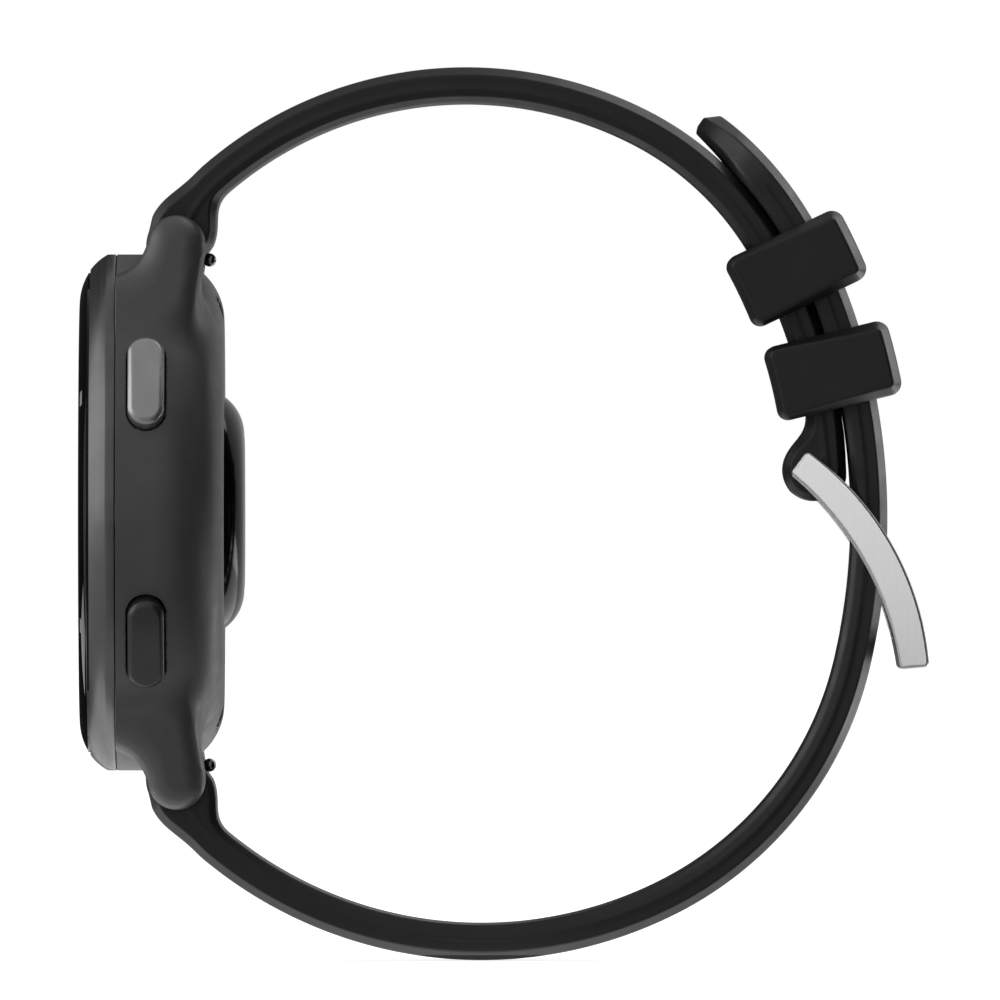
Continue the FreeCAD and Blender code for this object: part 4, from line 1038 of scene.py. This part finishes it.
def dress_cad_nodes():
    for node, obj in frame["nodes"].items():
        if not obj.hide_render:
            obj.data.materials.clear()
            obj.data.materials.append(MATERIALS[NODE_SLOTS[node]])


# ---- studio ----
def plain(name, colour, roughness=0.9, glow=0.0):
    finish = Finish(name, colour, roughness, Emission_Color=(1, 1, 1, 1), Emission_Strength=glow)
    return finish.wear(finish.noise(3, 2), 0.03).material


def sheet(name, corners, material):
    mesh = bpy.data.meshes.new(name)
    mesh.from_pydata(corners, [], [list(range(len(corners)))])
    mesh.materials.append(material)
    obj = in_scene(name, mesh)
    return obj


AMBIENT = 0.42              # brightness of the room that lights the watch


def make_studio():
    """A white background, a soft grey dome that lights the watch unseen, flags and soft lamps."""
    floor_z = cad_box[0][2] - 0.0001
    corners = [(-9, -9, floor_z), (9, -9, floor_z), (9, 9, floor_z), (-9, 9, floor_z)]
    ground = sheet("floor", corners, plain("floor_white", (0.8, 0.8, 0.8), glow=0.86))
    ground.visible_glossy = False
    ground.visible_diffuse = False
    dark = plain("flag_black", (0.02, 0.02, 0.02))
    grey = plain("flag_grey", (0.7, 0.7, 0.7))
    flag("front_flag", (-0.5, -0.8), (0.5, -0.8), grey)
    flag("right_flag", (0.5, -0.8), (1.05, 0.2), dark)
    flag("back_flag", (-0.9, 0.7), (0.0, 0.95), dark)
    make_dome()
    world = bpy.data.worlds.new("studio")
    bpy.context.scene.world = world
    world.use_nodes = True
    background = world.node_tree.nodes["Background"].inputs
    background["Color"].default_value = (1, 1, 1, 1)
    background["Strength"].default_value = 1.0
    rim = softbox("right_rim", (1.0, 0.40, 0.5), (0, 0, 0.5), (0.46, 1.1), 3.7)
    light_link(rim, ("buckle_bow", "buckle_prong", "sensor_lens"), "EXCLUDE")
    softbox("left_fill", (-1.05, -0.06, 0.5), (0, 0, 0.5), (1.35, 1.1), 1.0)
    softbox("top_rim", (0.50, 0.42, 0.88), (0, 0, 0), (0.5, 0.6), 1.8)
    softbox("floor_glow", (0.02, 0.034, floor_z + 0.0005), (0.02, 0.034, 1), (0.12, 0.09), 0.8)
    softbox("floor_rim", (0.16, 0.034, floor_z + 0.0005), (0.16, 0.034, 1), (0.16, 0.09), 3.0)
    front = softbox("buckle_front", (0.05, -0.12, 0.040), (0.05, 0, 0.040), (0.11, 0.11), 0.75)
    light_link(front, ("buckle_bow", "buckle_prong"), "INCLUDE")
    side = softbox("band_front", (-0.76, -0.42, 0.38), (0.05, -0.01, -0.01), (0.45, 0.75), 1.1)
    light_link(side, ("band_6",), "INCLUDE")
    strip = softbox("lens_strip", (-0.32, 0.36, -0.087), (-0.013, -0.016, -0.0104), (0.14, 0.06), 1.4)
    light_link(strip, ("cover_lens",), "INCLUDE")


def flag(name, left, right, material):
    """An upright screen between two places on the floor plan, which the camera doesn't see."""
    screen = sheet(name, [(*left, -0.9), (*right, -0.9), (*right, 0.9), (*left, 0.9)], material)
    screen.visible_camera = False


def make_dome():
    """An even grey light from all round. It hides the white world from all but the camera."""
    mesh = bpy.data.meshes.new("dome")
    shape = bmesh.new()
    bmesh.ops.create_uvsphere(shape, u_segments=48, v_segments=24, radius=12)
    shape.to_mesh(mesh)
    shape.free()
    grey = plain("dome_grey", (0, 0, 0), 1.0, AMBIENT)
    grey.cycles.emission_sampling = "NONE"
    mesh.materials.append(grey)
    dome = in_scene("dome", mesh)
    dome.visible_camera = False


def softbox(name, place, target, size, radiance):
    """A rectangular lamp that faces a target. Its brightness doesn't depend on its size."""
    data = bpy.data.lights.new(name, "AREA")
    data.shape = "RECTANGLE"
    data.size, data.size_y = size
    data.energy = radiance * math.pi * size[0] * size[1]
    lamp = in_scene(name, data)
    lamp.location = place
    lamp.rotation_euler = (Vector(target) - Vector(place)).to_track_quat("-Z", "Y").to_euler()
    lamp.visible_camera = False
    return lamp


def light_link(lamp, names, state):
    """Let a lamp light only the named pieces, or all but them."""
    receivers = bpy.data.collections.new(lamp.name + "_pieces")
    lamp.light_linking.receiver_collection = receivers
    for name in names:
        receivers.objects.link(bpy.data.objects[name])
    for item in receivers.collection_objects:
        item.light_linking.link_state = state


FRAME_WIDTH = 81.77         # millimetres that the photograph's width covers, at the watch
CAMERA_DISTANCE = 3.5       # metres
VIEW_CENTRE = (0.02085, 0, 0.00102)


def make_camera():
    data = bpy.data.cameras.new("camera")
    data.sensor_width = 36
    data.lens = data.sensor_width * CAMERA_DISTANCE / (FRAME_WIDTH * MM)
    camera = in_scene("camera", data)
    camera.location = Vector(VIEW_CENTRE) + Vector((0, -CAMERA_DISTANCE, 0))
    camera.rotation_euler = (math.radians(90), 0, 0)
    bpy.context.scene.camera = camera


make_camera()
make_watch()
make_band()
dress_cad_nodes()
let_springs_give()
make_studio()
bpy.context.scene.view_settings.view_transform = "Standard"
